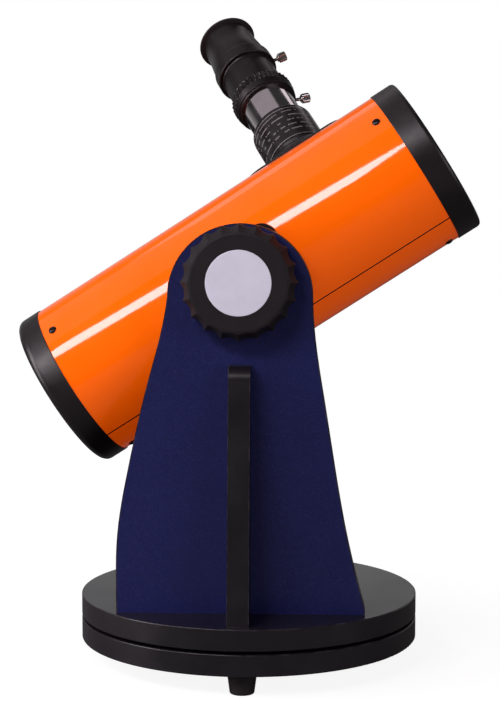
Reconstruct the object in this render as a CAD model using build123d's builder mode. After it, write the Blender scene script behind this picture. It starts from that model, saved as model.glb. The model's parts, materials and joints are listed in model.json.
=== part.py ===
from build123d import *
import os
from math import cos, radians, sin, sqrt

# A tabletop Newtonian reflector on a single-arm turning base.
# Millimetres, +Z up. The origin is on the azimuth axis, in the plane the feet stand on.
# The arm stands on the -Y side, and the open front of the tube points towards +X and up.

os.makedirs("parts", exist_ok=True)

# ---- clearances ----
running_gap = 0.05  # radial, a shaft or plug that turns or slides in its hole
seat_gap = 0.02  # radial, a fixed piece in its seat
free_gap = 0.3  # between curved faces that pass each other
match_gap = 0.01  # how near a measured radius or length is to the one looked for

# ---- base ----
base_radius = 102.5
board_thickness = 12.5
board_gap = 2.0
band_thickness = 0.6
board_edge_round = 0.5
foot_height = 13.0
foot_top_radius = 8.75
foot_bottom_radius = 7.0
foot_inset = 14.5
foot_count = 3
foot_mouth_radius = 4.2
foot_mouth_depth = 5.0
foot_seat_radius = 3.8
foot_seat_depth = 8.0
foot_edge_round = 0.8
foot_screw_radius = 1.9
foot_screw_head_radius = 3.4
foot_screw_head_height = 2.4
foot_screw_bite = 9.0
pad_radius = 8.0
pad_inset = 24.5
pad_circle_start = -30.0
azimuth_bolt_radius = 4.0
azimuth_head_flats = 13.0
azimuth_head_height = 5.3
azimuth_pocket_radius = 10.0
azimuth_washer_radius = 9.0
azimuth_washer_thickness = 1.6
azimuth_nut_height = 8.0
azimuth_bolt_spare = 2.0
bolt_chamfer = 0.7
nut_chamfer = 0.5

# ---- side arm ----
arm_x = -2.2
arm_inset = 37.5  # from the board's rim to the panel's outer face, along Y
arm_thickness = 12.5
arm_corner_inset = 30.3  # from the board's radius to half the panel's width
arm_top_radius = 41.7
arm_height = 183.9  # from the turntable's top to the centre of the round top
# points on the two side curves: (share of the side's reach, share of the height)
arm_front_foot_rise = 0.02
arm_front_curve = ((0.66, 0.245), (0.235, 0.66))
arm_front_lean = -0.30
arm_rear_foot_rise = 0.14
arm_rear_curve = ((0.37, 0.735), (0.795, 0.43))
arm_rear_lean = -0.12
rib_thickness = 12.5
rib_foot_reach = 32.0
rib_top_reach = 13.0
rib_knob_gap = 14.2
rib_top_round = 8.0
arm_screw_radius = 2.4
arm_screw_head_radius = 4.5
arm_screw_head_height = 3.0
arm_screw_spacing = 46.0
arm_screw_bite = 26.0
rib_screw_reach = 20.0

# ---- altitude pivot ----
pivot_rise = 8.7  # above the centre of the arm's round top
rest_altitude = 32.6
bush_radius = 7.0
stud_radius = 4.0
washer_radius = 20.0
outer_washer_thickness = 1.5
inner_washer_thickness = 1.5
knob_radius = 33.4
knob_rim_depth = 11.5
knob_depth = 18.5
knob_slope = 4.9
knob_lobes = 20
knob_notch_radius = 6.5
knob_notch_depth = 1.9
knob_edge_round = 0.8
knob_disc_radius = 18.6
knob_disc_thickness = 1.0
knob_disc_proud = 0.3
knob_stud_grip = 14.0
stud_chamfer = 0.7
insert_radius = 6.5
insert_length = 5.0

# ---- tube ----
tube_radius = 49.5
tube_wall = 0.8
shell_rear = -118.5
shell_front = 121.2
cap_lip = 0.6
front_ring_length = 15.7
front_ring_rim = 3.2
rear_cap_length = 15.3
rear_cap_floor = 3.0
spigot_depth = 13.0
spigot_wall = 2.5
front_edge_round = 2.5
rear_edge_round = 4.5
seam_angle = 45.0
seam_width = 0.8
seam_depth = 0.3
tube_screw_inset = 6.5
tube_screw_angles = (-45.0, 75.0, 195.0)
tube_screw_head_radius = 2.5
tube_screw_head_height = 1.4
tube_screw_crown = 1.1
tube_screw_radius = 1.4

# ---- optics ----
mirror_inset = 7.5
mirror_edge = 9.0
focal_length = 300.0
mirror_pad_thickness = 1.0
mirror_pad_radius = 4.5
mirror_pad_inset = 11.4
cell_clearance = 0.7
cell_plate = 4.0
cell_skirt = 10.0
clip_count = 3
clip_width = 8.0
clip_lip = 2.0
clip_thickness = 1.0
clip_screw_share = 0.6  # how far out along the clip's foot its screw stands
secondary_radius = 13.0
secondary_thickness = 4.0
secondary_holder_length = 27.0
secondary_bolt_bite = 9.0
hub_radius = 12.5
hub_length = 6.0
hub_gap = 12.0
collimation_reach = 7.5
vane_thickness = 1.4
vane_count = 3

# ---- altitude bracket ----
bracket_standoff = 6.5  # from the tube's surface to the washer
bracket_length = 64.0
bracket_width = 46.0
bracket_corner = 10.0
bracket_screw_x = 25.0
bracket_screw_y = 15.5
bracket_screw_radius = 1.8
bracket_head_radius = 3.3
bracket_head_height = 1.8
bracket_screw_bite = 10.0

# ---- focuser ----
focuser_s = 66.4
focuser_angle = 225.0
housing_wall = 2.95
housing_height = 42.1
flare_spread = 9.4
flare_height = 9.0
saddle_thickness = 2.0
saddle_length = 74.0
saddle_spread = 9.9
saddle_corner = 14.0
saddle_screw_s = 29.0
saddle_screw_turn = 20.0
liner_length = 20.0
liner_inset = 7.6
liner_thickness = 1.2
label_height = 28.6
label_inset = 3.0
label_thickness = 0.2
label_turn = -198.0
label_span = 180.0

# ---- drawtube, extension and eyepiece ----
barrel_radius = 15.875
barrel_wall = 1.2
drawtube_wall = 1.275
drawtube_reach = 29.6  # the length inside the housing
drawtube_shown = 26.1
end_ring_wall = 3.8
end_ring_height = 6.3
end_ring_lip = 1.2
knurl_height = 6.6
knurl_ribs = 40
knurl_groove = 0.6
extension_wall = 2.325
extension_height = 30.9
extension_nose = 28.0
extension_grip = 6.0
collar_height = 9.8
collar_wall = 4.375
collar_round = 0.8
eyepiece_nose = 27.0
eyepiece_base_wall = 3.025
eyepiece_waist_wall = 1.275
eyepiece_waist_rise = 22.3
eyepiece_height = 30.3
eyecup_height = 2.0
eyecup_wall = 3.775
eye_lens_radius = 11.0
lens_edge = 3.0
lens_crown = 1.5
lens_inset = 2.0
thumbscrew_radius = 1.2
thumbscrew_gap = 3.5
thumbscrew_head_radius = 3.25
thumbscrew_head_length = 5.4
thumbscrew_ribs = 18
thumbscrew_groove = 0.18
lower_thumbscrew_turn = 29.0
upper_thumbscrew_turn = 13.0

# ---- heights and stations that follow from them ----
base_bottom = foot_height
base_top = base_bottom + board_thickness
table_bottom = base_top + board_gap
table_top = table_bottom + board_thickness
foot_circle_radius = base_radius - foot_inset
pad_circle_radius = base_radius - pad_inset
arm_outer_y = arm_inset - base_radius
arm_half_width = base_radius - arm_corner_inset
arm_top_centre_z = table_top + arm_height
pivot_z = arm_top_centre_z + pivot_rise
rib_top_z = pivot_z - knob_radius - rib_knob_gap
knob_back_y = arm_outer_y - outer_washer_thickness
knob_face_radius = knob_radius - knob_slope
bracket_face_y = arm_outer_y + arm_thickness + inner_washer_thickness
bracket_face = tube_radius + bracket_standoff
tube_y = bracket_face_y + bracket_face
cap_radius = tube_radius + cap_lip
shell_inner_radius = tube_radius - tube_wall
spigot_radius = shell_inner_radius - seat_gap
spigot_inner_radius = spigot_radius - spigot_wall
front_opening_radius = spigot_inner_radius - front_ring_rim
cell_radius = spigot_inner_radius - cell_clearance
mirror_radius = cell_radius - mirror_inset
front_end = shell_front + front_ring_length
rear_end = shell_rear - rear_cap_length
cap_floor = rear_end + rear_cap_floor
cell_top = cap_floor + cell_skirt + cell_plate
mirror_back = cell_top + mirror_pad_thickness
mirror_front = mirror_back + mirror_edge
mirror_curve = 2 * focal_length
mirror_sag = mirror_curve - sqrt(mirror_curve**2 - mirror_radius**2)
drawtube_bore = barrel_radius + running_gap
drawtube_radius = drawtube_bore + drawtube_wall
housing_bore = drawtube_radius + free_gap
housing_radius = housing_bore + housing_wall
flare_radius = housing_radius + flare_spread
saddle_width = 2 * (housing_radius + saddle_spread)
saddle_face = tube_radius + saddle_thickness
end_ring_radius = drawtube_radius + end_ring_wall
extension_radius = drawtube_bore + extension_wall
collar_radius = drawtube_bore + collar_wall
eyepiece_base_radius = barrel_radius + eyepiece_base_wall
eyepiece_waist_radius = barrel_radius + eyepiece_waist_wall
eyecup_radius = barrel_radius + eyecup_wall

# ---- levels along the focuser, measured from the tube's axis ----
housing_top = tube_radius + housing_height
drawtube_bottom = housing_top - drawtube_reach
liner_bottom = housing_top - liner_inset - liner_length
label_top = housing_top - label_inset
label_bottom = label_top - label_height
end_ring_bottom = housing_top + drawtube_shown
end_ring_top = end_ring_bottom + end_ring_height
knurl_top = end_ring_top + knurl_height
collar_bottom = end_ring_top + extension_height
collar_top = collar_bottom + collar_height
eyepiece_waist_level = collar_top + eyepiece_waist_rise
eyecup_bottom = collar_top + eyepiece_height
eyecup_top = eyecup_bottom + eyecup_height

# ---- the tube's own directions ----
forward = Vector(cos(radians(rest_altitude)), 0, sin(radians(rest_altitude)))
upward = Vector(-sin(radians(rest_altitude)), 0, cos(radians(rest_altitude)))
near = Vector(0, -1, 0)
pivot = Vector(arm_x, tube_y, pivot_z)
tube_axis = Axis(pivot, forward)
# local x runs along the tube, local y away from its axis
tube_profile = Plane(origin=pivot, x_dir=forward, z_dir=near)


def tube_direction(angle):
    """The direction away from the tube's axis: 0 is towards the arm, 90 is down."""
    return near * cos(radians(angle)) - upward * sin(radians(angle))


def tube_station(s):
    """A plane across the tube, s in front of the altitude axis."""
    return Plane(origin=pivot + forward * s, x_dir=near, z_dir=forward)


def tube_surface(s, angle, radius):
    """A plane that faces away from the tube's axis, at this radius."""
    out = tube_direction(angle)
    return Plane(origin=pivot + forward * s + out * radius, x_dir=forward, z_dir=out)


focus_out = tube_direction(focuser_angle)
focus_origin = pivot + forward * focuser_s
focus_axis = Axis(focus_origin, focus_out)
# local x runs away from the focuser's axis, local y along it
focus_profile = Plane(origin=focus_origin, x_dir=forward, z_dir=forward.cross(focus_out))
focus_across = focus_out.cross(forward)


def focus_level(q):
    """A plane across the focuser, q away from the tube's axis."""
    return Plane(origin=focus_origin + focus_out * q, x_dir=forward, z_dir=focus_out)


def focus_direction(turn):
    """The direction away from the focuser's axis: 0 is along the tube."""
    return forward * cos(radians(turn)) + focus_across * sin(radians(turn))


def focus_side(q, turn):
    """A plane that faces away from the focuser's axis."""
    origin = focus_origin + focus_out * q
    return Plane(origin=origin, x_dir=focus_out, z_dir=focus_direction(turn))


def pivot_level(y):
    """A plane across the altitude axis that faces away from the tube."""
    return Plane(origin=(arm_x, y, pivot_z), x_dir=(1, 0, 0), z_dir=near)


def disc(plane, radius, bore=0):
    """A round face, with a round hole if bore is given."""
    with BuildSketch(plane) as sketch:
        Circle(radius)
        if bore:
            Circle(bore, mode=Mode.SUBTRACT)
    return sketch.sketch


def finish(piece, name):
    """Label a finished piece and write it."""
    piece.part.label = name
    export_step(piece.part, f"parts/{name}.step")


def circle_spots(radius, count, start=-90.0):
    """Points evenly spaced round the azimuth axis, the first at the start angle."""
    angles = [radians(start + 360.0 * i / count) for i in range(count)]
    return [(radius * cos(a), radius * sin(a)) for a in angles]


foot_spots = circle_spots(foot_circle_radius, foot_count)
pad_spots = circle_spots(pad_circle_radius, foot_count, start=pad_circle_start)

# ---- arm screw places ----
arm_mid_y = arm_outer_y + arm_thickness / 2
rib_mid_y = arm_outer_y - rib_screw_reach
arm_screw_spots = [(arm_x + arm_screw_spacing * i, arm_mid_y) for i in (-1, 1)]
arm_screw_spots.append((arm_x, rib_mid_y))

# ======== base ========

with BuildPart() as base_board:
    with BuildSketch(Plane.XY.offset(base_bottom)):
        Circle(base_radius - band_thickness)
        Circle(azimuth_bolt_radius + seat_gap, mode=Mode.SUBTRACT)
    extrude(amount=board_thickness)
    with BuildSketch(Plane.XY.offset(base_bottom)):
        Circle(azimuth_pocket_radius)
    extrude(amount=azimuth_head_height, mode=Mode.SUBTRACT)
    with BuildSketch(Plane.XY.offset(base_bottom)):
        with Locations(*foot_spots):
            Circle(foot_screw_radius + seat_gap)
    extrude(amount=foot_screw_bite, mode=Mode.SUBTRACT)
finish(base_board, "base_board")


def edge_band(bottom):
    """The plastic strip round one of the two boards, rounded at both outer edges."""
    with BuildPart() as band:
        with BuildSketch(Plane.XY.offset(bottom)):
            Circle(base_radius)
            Circle(base_radius - band_thickness, mode=Mode.SUBTRACT)
        extrude(amount=board_thickness)
        outer = band.edges().filter_by(GeomType.CIRCLE)
        outer = outer.filter_by(lambda e: abs(e.radius - base_radius) < match_gap)
        fillet(outer, board_edge_round)
    return band


base_edge_band = edge_band(base_bottom)
finish(base_edge_band, "base_edge_band")


def foot(spot):
    """A truncated cone, wider at the board, with a stepped recess for its screw."""
    with BuildPart() as piece:
        with BuildSketch(Plane(origin=(spot[0], spot[1], 0))):
            Circle(foot_bottom_radius)
        with BuildSketch(Plane(origin=(spot[0], spot[1], foot_height))):
            Circle(foot_top_radius)
        loft()
        fillet(piece.edges().sort_by(Axis.Z)[0], foot_edge_round)
        with BuildSketch(Plane(origin=(spot[0], spot[1], 0))):
            Circle(foot_mouth_radius)
        extrude(amount=foot_mouth_depth, mode=Mode.SUBTRACT)
        with BuildSketch(Plane(origin=(spot[0], spot[1], 0))):
            Circle(foot_seat_radius)
        extrude(amount=foot_seat_depth, mode=Mode.SUBTRACT)
        with BuildSketch(Plane(origin=(spot[0], spot[1], 0))):
            Circle(foot_screw_radius + seat_gap)
        extrude(amount=foot_height, mode=Mode.SUBTRACT)
    return piece


for foot_name, foot_spot in zip(("foot_near", "foot_front", "foot_rear"), foot_spots):
    finish(foot(foot_spot), foot_name)

with BuildPart() as foot_screws:
    with BuildSketch(Plane.XY.offset(foot_seat_depth)):
        with Locations(*foot_spots):
            Circle(foot_screw_radius)
    extrude(amount=foot_height - foot_seat_depth + foot_screw_bite - seat_gap)
    with BuildSketch(Plane.XY.offset(foot_seat_depth)):
        with Locations(*foot_spots):
            Circle(foot_screw_head_radius)
    extrude(amount=-foot_screw_head_height)
finish(foot_screws, "foot_screws")

with BuildPart() as glide_pads:
    with BuildSketch(Plane.XY.offset(base_top)):
        with Locations(*pad_spots):
            Circle(pad_radius)
    extrude(amount=board_gap)
finish(glide_pads, "glide_pads")

with BuildPart() as azimuth_bolt:
    with BuildSketch(Plane.XY.offset(base_bottom)):
        RegularPolygon(azimuth_head_flats / 2, 6, major_radius=False)
    extrude(amount=azimuth_head_height)
    with BuildSketch(Plane.XY.offset(base_bottom + azimuth_head_height)):
        Circle(azimuth_bolt_radius)
    nut_top = table_top + azimuth_washer_thickness + azimuth_nut_height
    extrude(amount=nut_top + azimuth_bolt_spare - base_bottom - azimuth_head_height)
    chamfer(azimuth_bolt.edges().sort_by(Axis.Z)[-1], bolt_chamfer)
finish(azimuth_bolt, "azimuth_bolt")

with BuildPart() as azimuth_washer:
    extrude(
        disc(
            Plane.XY.offset(table_top),
            azimuth_washer_radius,
            azimuth_bolt_radius + running_gap,
        ),
        amount=azimuth_washer_thickness,
    )
finish(azimuth_washer, "azimuth_washer")

with BuildPart() as azimuth_nut:
    with BuildSketch(Plane.XY.offset(table_top + azimuth_washer_thickness)):
        RegularPolygon(azimuth_head_flats / 2, 6, major_radius=False)
        Circle(azimuth_bolt_radius + seat_gap, mode=Mode.SUBTRACT)
    extrude(amount=azimuth_nut_height)
    nut_rims = azimuth_nut.faces().sort_by(Axis.Z)[-1].outer_wire().edges()
    chamfer(nut_rims, nut_chamfer)
finish(azimuth_nut, "azimuth_nut")

# ======== turntable ========

with BuildPart() as turntable_board:
    with BuildSketch(Plane.XY.offset(table_bottom)):
        Circle(base_radius - band_thickness)
        Circle(azimuth_bolt_radius + running_gap, mode=Mode.SUBTRACT)
        with Locations(*arm_screw_spots):
            Circle(arm_screw_radius + seat_gap, mode=Mode.SUBTRACT)
    extrude(amount=board_thickness)
    with BuildSketch(Plane.XY.offset(table_bottom)):
        with Locations(*arm_screw_spots):
            Circle(arm_screw_head_radius + seat_gap)
    extrude(amount=arm_screw_head_height, mode=Mode.SUBTRACT)
finish(turntable_board, "turntable_board")

turntable_edge_band = edge_band(table_bottom)
finish(turntable_edge_band, "turntable_edge_band")


def arm_outline(inset):
    """The panel's face: round top, hollow front edge, rear edge that ends upright."""
    reach = arm_half_width - arm_top_radius
    foot_x = arm_half_width - inset
    top_x = arm_top_radius - inset
    front_foot = (foot_x, table_top + arm_front_foot_rise * arm_height)
    rear_foot = (-foot_x, table_top + arm_rear_foot_rise * arm_height)
    front_shoulder = (top_x, arm_top_centre_z)
    rear_shoulder = (-top_x, arm_top_centre_z)
    front_points = [(top_x + a * reach, table_top + b * arm_height) for a, b in arm_front_curve]
    rear_points = [(-top_x - a * reach, table_top + b * arm_height) for a, b in arm_rear_curve]
    with BuildSketch(Plane(origin=(arm_x, arm_outer_y, 0), x_dir=(1, 0, 0), z_dir=near)) as face:
        with BuildLine():
            Polyline(rear_foot, (-foot_x, table_top), (foot_x, table_top), front_foot)
            Spline(
                front_foot,
                *front_points,
                front_shoulder,
                tangents=((arm_front_lean, 1), (0, 1)),
            )
            ThreePointArc(front_shoulder, (0, arm_top_centre_z + top_x), rear_shoulder)
            Spline(
                rear_shoulder,
                *rear_points,
                rear_foot,
                tangents=((arm_rear_lean, -1), (0, -1)),
            )
        make_face()
    return face.sketch


with BuildPart() as side_arm:
    extrude(arm_outline(band_thickness), amount=-arm_thickness)
    extrude(
        disc(pivot_level(arm_outer_y), bush_radius + seat_gap),
        amount=-arm_thickness,
        mode=Mode.SUBTRACT,
    )
    with BuildSketch(Plane.XY.offset(table_top)):
        with Locations(*arm_screw_spots[:2]):
            Circle(arm_screw_radius + seat_gap)
    extrude(amount=arm_screw_bite, mode=Mode.SUBTRACT)
finish(side_arm, "side_arm")

with BuildPart() as arm_edge_band:
    extrude(arm_outline(0), amount=-arm_thickness)
    extrude(arm_outline(band_thickness), amount=-arm_thickness, mode=Mode.SUBTRACT)
finish(arm_edge_band, "arm_edge_band")


def rib_outline(inset):
    """The buttress board, drawn out from the panel's face. Inset trims its outer edge."""
    top = rib_top_z
    with BuildSketch(Plane(origin=(arm_x, arm_outer_y, 0), x_dir=near, z_dir=(-1, 0, 0))) as face:
        with BuildLine():
            Polyline(
                (0, table_top),
                (rib_foot_reach - inset, table_top),
                (rib_top_reach - inset, top - rib_top_round),
            )
            Line((rib_top_reach - rib_top_round, top - inset), (0, top - inset))
            Line((0, top - inset), (0, table_top))
            RadiusArc(
                (rib_top_reach - inset, top - rib_top_round),
                (rib_top_reach - rib_top_round, top - inset),
                -(rib_top_round - inset),
            )
        make_face()
    return face.sketch


with BuildPart() as arm_rib:
    extrude(rib_outline(band_thickness), amount=rib_thickness / 2, both=True)
    with BuildSketch(Plane.XY.offset(table_top)):
        with Locations(arm_screw_spots[2]):
            Circle(arm_screw_radius + seat_gap)
    extrude(amount=arm_screw_bite, mode=Mode.SUBTRACT)
finish(arm_rib, "arm_rib")

with BuildPart() as rib_edge_band:
    extrude(rib_outline(0), amount=rib_thickness / 2, both=True)
    extrude(
        rib_outline(band_thickness), amount=rib_thickness / 2, both=True, mode=Mode.SUBTRACT
    )
finish(rib_edge_band, "rib_edge_band")

with BuildPart() as arm_screws:
    with BuildSketch(Plane.XY.offset(table_bottom)):
        with Locations(*arm_screw_spots):
            Circle(arm_screw_head_radius)
    extrude(amount=arm_screw_head_height)
    with BuildSketch(Plane.XY.offset(table_bottom)):
        with Locations(*arm_screw_spots):
            Circle(arm_screw_radius)
    extrude(amount=board_thickness + arm_screw_bite - seat_gap)
finish(arm_screws, "arm_screws")

# ======== altitude pivot ========

with BuildPart() as altitude_bush:
    extrude(
        disc(pivot_level(arm_outer_y), bush_radius, stud_radius + running_gap),
        amount=-arm_thickness,
    )
finish(altitude_bush, "altitude_bush")

with BuildPart() as outer_washer:
    extrude(
        disc(pivot_level(arm_outer_y), washer_radius, stud_radius + free_gap),
        amount=outer_washer_thickness,
    )
finish(outer_washer, "outer_washer")

with BuildPart() as inner_washer:
    extrude(
        disc(pivot_level(bracket_face_y), washer_radius, stud_radius + free_gap),
        amount=inner_washer_thickness,
    )
finish(inner_washer, "inner_washer")

with BuildPart() as altitude_knob:
    disc_seat = knob_depth + knob_disc_proud - knob_disc_thickness
    notch_centre = knob_radius - knob_notch_depth + knob_notch_radius
    with BuildSketch(pivot_level(knob_back_y)):
        Circle(knob_radius)
    extrude(amount=knob_rim_depth)
    with BuildSketch(pivot_level(knob_back_y - knob_rim_depth)):
        Circle(knob_radius)
    with BuildSketch(pivot_level(knob_back_y - knob_depth)):
        Circle(knob_face_radius)
    loft()
    with BuildSketch(pivot_level(knob_back_y)):
        with PolarLocations(notch_centre, knob_lobes, start_angle=90.0):
            Circle(knob_notch_radius)
    extrude(amount=knob_depth, mode=Mode.SUBTRACT)
    with BuildSketch(pivot_level(knob_back_y - disc_seat)):
        Circle(knob_disc_radius + seat_gap)
    extrude(amount=knob_depth - disc_seat, mode=Mode.SUBTRACT)
    with BuildSketch(pivot_level(knob_back_y)):
        Circle(stud_radius + seat_gap)
    extrude(amount=knob_stud_grip, mode=Mode.SUBTRACT)
    lobe_tips = altitude_knob.edges().filter_by(Axis.Y)
    lobe_tips = lobe_tips.filter_by(lambda e: abs(e.length - knob_rim_depth) < match_gap)
    fillet(lobe_tips, knob_edge_round)
finish(altitude_knob, "altitude_knob")

with BuildPart() as knob_disc:
    with BuildSketch(pivot_level(knob_back_y - disc_seat)):
        Circle(knob_disc_radius)
    extrude(amount=knob_disc_thickness)
    fillet(knob_disc.faces().sort_by(Axis.Y)[0].edges(), knob_disc_proud)
finish(knob_disc, "knob_disc")

with BuildPart() as altitude_stud:
    with BuildSketch(pivot_level(knob_back_y - knob_stud_grip + seat_gap)):
        Circle(stud_radius)
    stud_end_y = bracket_face_y + insert_length - seat_gap
    extrude(amount=-(stud_end_y - knob_back_y + knob_stud_grip - seat_gap))
    chamfer(altitude_stud.edges().sort_by(Axis.Y)[-1], stud_chamfer)
finish(altitude_stud, "altitude_stud")

# ======== tube ========

with BuildPart() as tube_shell:
    with BuildSketch(tube_station(shell_rear)):
        Circle(tube_radius)
        Circle(shell_inner_radius, mode=Mode.SUBTRACT)
    extrude(amount=shell_front - shell_rear)
    with BuildSketch(tube_surface(0, seam_angle, tube_radius - seam_depth)):
        Rectangle(2 * (shell_front - shell_rear), seam_width)
    extrude(amount=2 * seam_depth, mode=Mode.SUBTRACT)
    with BuildSketch(focus_level(0)):
        Circle(housing_bore)
    extrude(amount=2 * tube_radius, mode=Mode.SUBTRACT)
    for screw_angle in tube_screw_angles:
        for screw_s in (shell_front - tube_screw_inset, shell_rear + tube_screw_inset):
            extrude(
                disc(tube_surface(screw_s, screw_angle, 0), tube_screw_radius + seat_gap),
                amount=2 * tube_radius,
                mode=Mode.SUBTRACT,
            )
    for along in (-bracket_screw_x, bracket_screw_x):
        for across in (-bracket_screw_y, bracket_screw_y):
            with BuildSketch(tube_surface(0, 0, 0)):
                with Locations((along, across)):
                    Circle(bracket_screw_radius + seat_gap)
            extrude(amount=2 * tube_radius, mode=Mode.SUBTRACT)
    for screw_s in (-saddle_screw_s, saddle_screw_s):
        for turn in (-saddle_screw_turn, saddle_screw_turn):
            extrude(
                disc(
                    tube_surface(focuser_s + screw_s, focuser_angle + turn, 0),
                    tube_screw_radius + seat_gap,
                ),
                amount=2 * tube_radius,
                mode=Mode.SUBTRACT,
            )
finish(tube_shell, "tube_shell")


def screw_set(places, foot_radius, shank_from):
    """Domed screws that point at the tube's axis, as one group of solids."""
    with BuildPart() as group:
        for place_s, place_angle in places:
            extrude(
                disc(tube_surface(place_s, place_angle, foot_radius), tube_screw_head_radius),
                amount=tube_screw_head_height,
            )
            extrude(
                disc(tube_surface(place_s, place_angle, shank_from), tube_screw_radius),
                amount=foot_radius - shank_from,
            )
        crowns = [
            edge
            for edge in group.edges().filter_by(GeomType.CIRCLE)
            if abs(edge.radius - tube_screw_head_radius) < match_gap
            and tube_axis_distance(edge) > foot_radius + tube_screw_head_height / 2
        ]
        fillet(crowns, tube_screw_crown)
    return group


def tube_axis_distance(edge):
    """How far an edge's centre is from the tube's axis."""
    reach = edge.arc_center - pivot
    return (reach - forward * reach.dot(forward)).length


front_screw_places = [(shell_front - tube_screw_inset, a) for a in tube_screw_angles]
rear_screw_places = [(shell_rear + tube_screw_inset, a) for a in tube_screw_angles]
saddle_screw_places = [
    (focuser_s + along, focuser_angle + turn)
    for along in (-saddle_screw_s, saddle_screw_s)
    for turn in (-saddle_screw_turn, saddle_screw_turn)
]
screw_tip = spigot_inner_radius + spigot_wall / 4

tube_screws = screw_set(front_screw_places + rear_screw_places, tube_radius, screw_tip)
finish(tube_screws, "tube_screws")
saddle_screws = screw_set(saddle_screw_places, saddle_face, screw_tip)
finish(saddle_screws, "saddle_screws")


def cut_screw_holes(places, through):
    """Clear the holes of a set of tube screws out of the piece being built."""
    for place_s, place_angle in places:
        extrude(
            disc(tube_surface(place_s, place_angle, 0), tube_screw_radius + seat_gap),
            amount=through,
            mode=Mode.SUBTRACT,
        )


with BuildPart() as front_ring:
    with BuildSketch(tube_profile):
        with BuildLine():
            Polyline(
                (shell_front - spigot_depth, spigot_inner_radius),
                (shell_front - spigot_depth, spigot_radius),
                (shell_front, spigot_radius),
                (shell_front, cap_radius),
                (front_end, cap_radius),
                (front_end, front_opening_radius),
                (front_end - spigot_wall, front_opening_radius),
                (front_end - spigot_wall, spigot_inner_radius),
                close=True,
            )
        make_face()
    revolve(axis=tube_axis)
    front_corner = [
        edge
        for edge in front_ring.edges().filter_by(GeomType.CIRCLE)
        if abs(edge.radius - cap_radius) < match_gap
        and (edge.arc_center - pivot).dot(forward) > front_end - match_gap
    ]
    fillet(front_corner, front_edge_round)
    cut_screw_holes(front_screw_places, spigot_radius + tube_wall)
finish(front_ring, "front_ring")

with BuildPart() as rear_cap:
    with BuildSketch(tube_profile):
        with BuildLine():
            Polyline(
                (rear_end, 0),
                (rear_end, cap_radius),
                (shell_rear, cap_radius),
                (shell_rear, spigot_radius),
                (shell_rear + spigot_depth, spigot_radius),
                (shell_rear + spigot_depth, spigot_inner_radius),
                (cap_floor, spigot_inner_radius),
                (cap_floor, 0),
                close=True,
            )
        make_face()
    revolve(axis=tube_axis)
    rear_corner = [
        edge
        for edge in rear_cap.edges().filter_by(GeomType.CIRCLE)
        if abs(edge.radius - cap_radius) < match_gap
        and (edge.arc_center - pivot).dot(forward) < rear_end + match_gap
    ]
    fillet(rear_corner, rear_edge_round)
    cut_screw_holes(rear_screw_places, spigot_radius + tube_wall)
finish(rear_cap, "rear_cap")

# ======== main mirror ========

clip_seat_radius = mirror_radius + free_gap
clip_reach = cell_radius - clip_seat_radius - free_gap
clip_screw_place = clip_seat_radius + clip_screw_share * clip_reach
clip_foot = mirror_front + free_gap
clip_top = clip_foot + clip_thickness

with BuildPart() as mirror_cell:
    with BuildSketch(tube_profile):
        with BuildLine():
            Polyline(
                (cap_floor, cell_radius - cell_plate),
                (cap_floor, cell_radius),
                (cell_top, cell_radius),
                (cell_top, 0),
                (cell_top - cell_plate, 0),
                (cell_top - cell_plate, cell_radius - cell_plate),
                close=True,
            )
        make_face()
    revolve(axis=tube_axis)
    with BuildSketch(tube_station(cell_top)):
        with PolarLocations(clip_screw_place, clip_count):
            Circle(tube_screw_radius + seat_gap)
    extrude(amount=-cell_plate, mode=Mode.SUBTRACT)
finish(mirror_cell, "mirror_cell")

with BuildPart() as mirror_pads:
    with BuildSketch(tube_station(cell_top)):
        with PolarLocations(mirror_radius - mirror_pad_inset, clip_count):
            Circle(mirror_pad_radius)
    extrude(amount=mirror_pad_thickness)
finish(mirror_pads, "mirror_pads")

with BuildPart() as main_mirror:
    with BuildSketch(tube_profile):
        with BuildLine():
            Line((mirror_back, 0), (mirror_back, mirror_radius))
            Line((mirror_back, mirror_radius), (mirror_front, mirror_radius))
            RadiusArc((mirror_front, mirror_radius), (mirror_front - mirror_sag, 0), -mirror_curve)
            Line((mirror_front - mirror_sag, 0), (mirror_back, 0))
        make_face()
    revolve(axis=tube_axis)
finish(main_mirror, "main_mirror")

with BuildPart() as mirror_clips:
    with BuildSketch(tube_station(cell_top)):
        with PolarLocations(clip_seat_radius + clip_reach / 2, clip_count):
            Rectangle(clip_reach, clip_width)
    extrude(amount=clip_foot - cell_top)
    with BuildSketch(tube_station(clip_foot)):
        with PolarLocations(clip_seat_radius + (clip_reach - clip_lip) / 2, clip_count):
            Rectangle(clip_reach + clip_lip, clip_width)
    extrude(amount=clip_thickness)
    with BuildSketch(tube_station(clip_top)):
        with PolarLocations(clip_screw_place, clip_count):
            Circle(tube_screw_radius + seat_gap)
    extrude(amount=-(clip_top - cell_top), mode=Mode.SUBTRACT)
finish(mirror_clips, "mirror_clips")

with BuildPart() as clip_screws:
    with BuildSketch(tube_station(cell_top - cell_plate)):
        with PolarLocations(clip_screw_place, clip_count):
            Circle(tube_screw_radius)
    extrude(amount=clip_top - cell_top + cell_plate)
    with BuildSketch(tube_station(clip_top)):
        with PolarLocations(clip_screw_place, clip_count):
            Circle(tube_screw_head_radius)
    extrude(amount=tube_screw_head_height)
finish(clip_screws, "clip_screws")

# ======== secondary mirror and its spider ========

fold_normal = (focus_out - forward).normalized()
fold_face = Plane(origin=focus_origin, z_dir=fold_normal)
fold_back = fold_face.offset(-secondary_thickness)
hub_rear = focuser_s + secondary_holder_length + hub_gap

with BuildPart() as secondary_mirror:
    with BuildSketch(tube_station(focuser_s - 2 * secondary_radius)):
        Circle(secondary_radius)
    extrude(amount=4 * secondary_radius)
    split(bisect_by=fold_face, keep=Keep.BOTTOM)
    split(bisect_by=fold_back, keep=Keep.TOP)
finish(secondary_mirror, "secondary_mirror")

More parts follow.
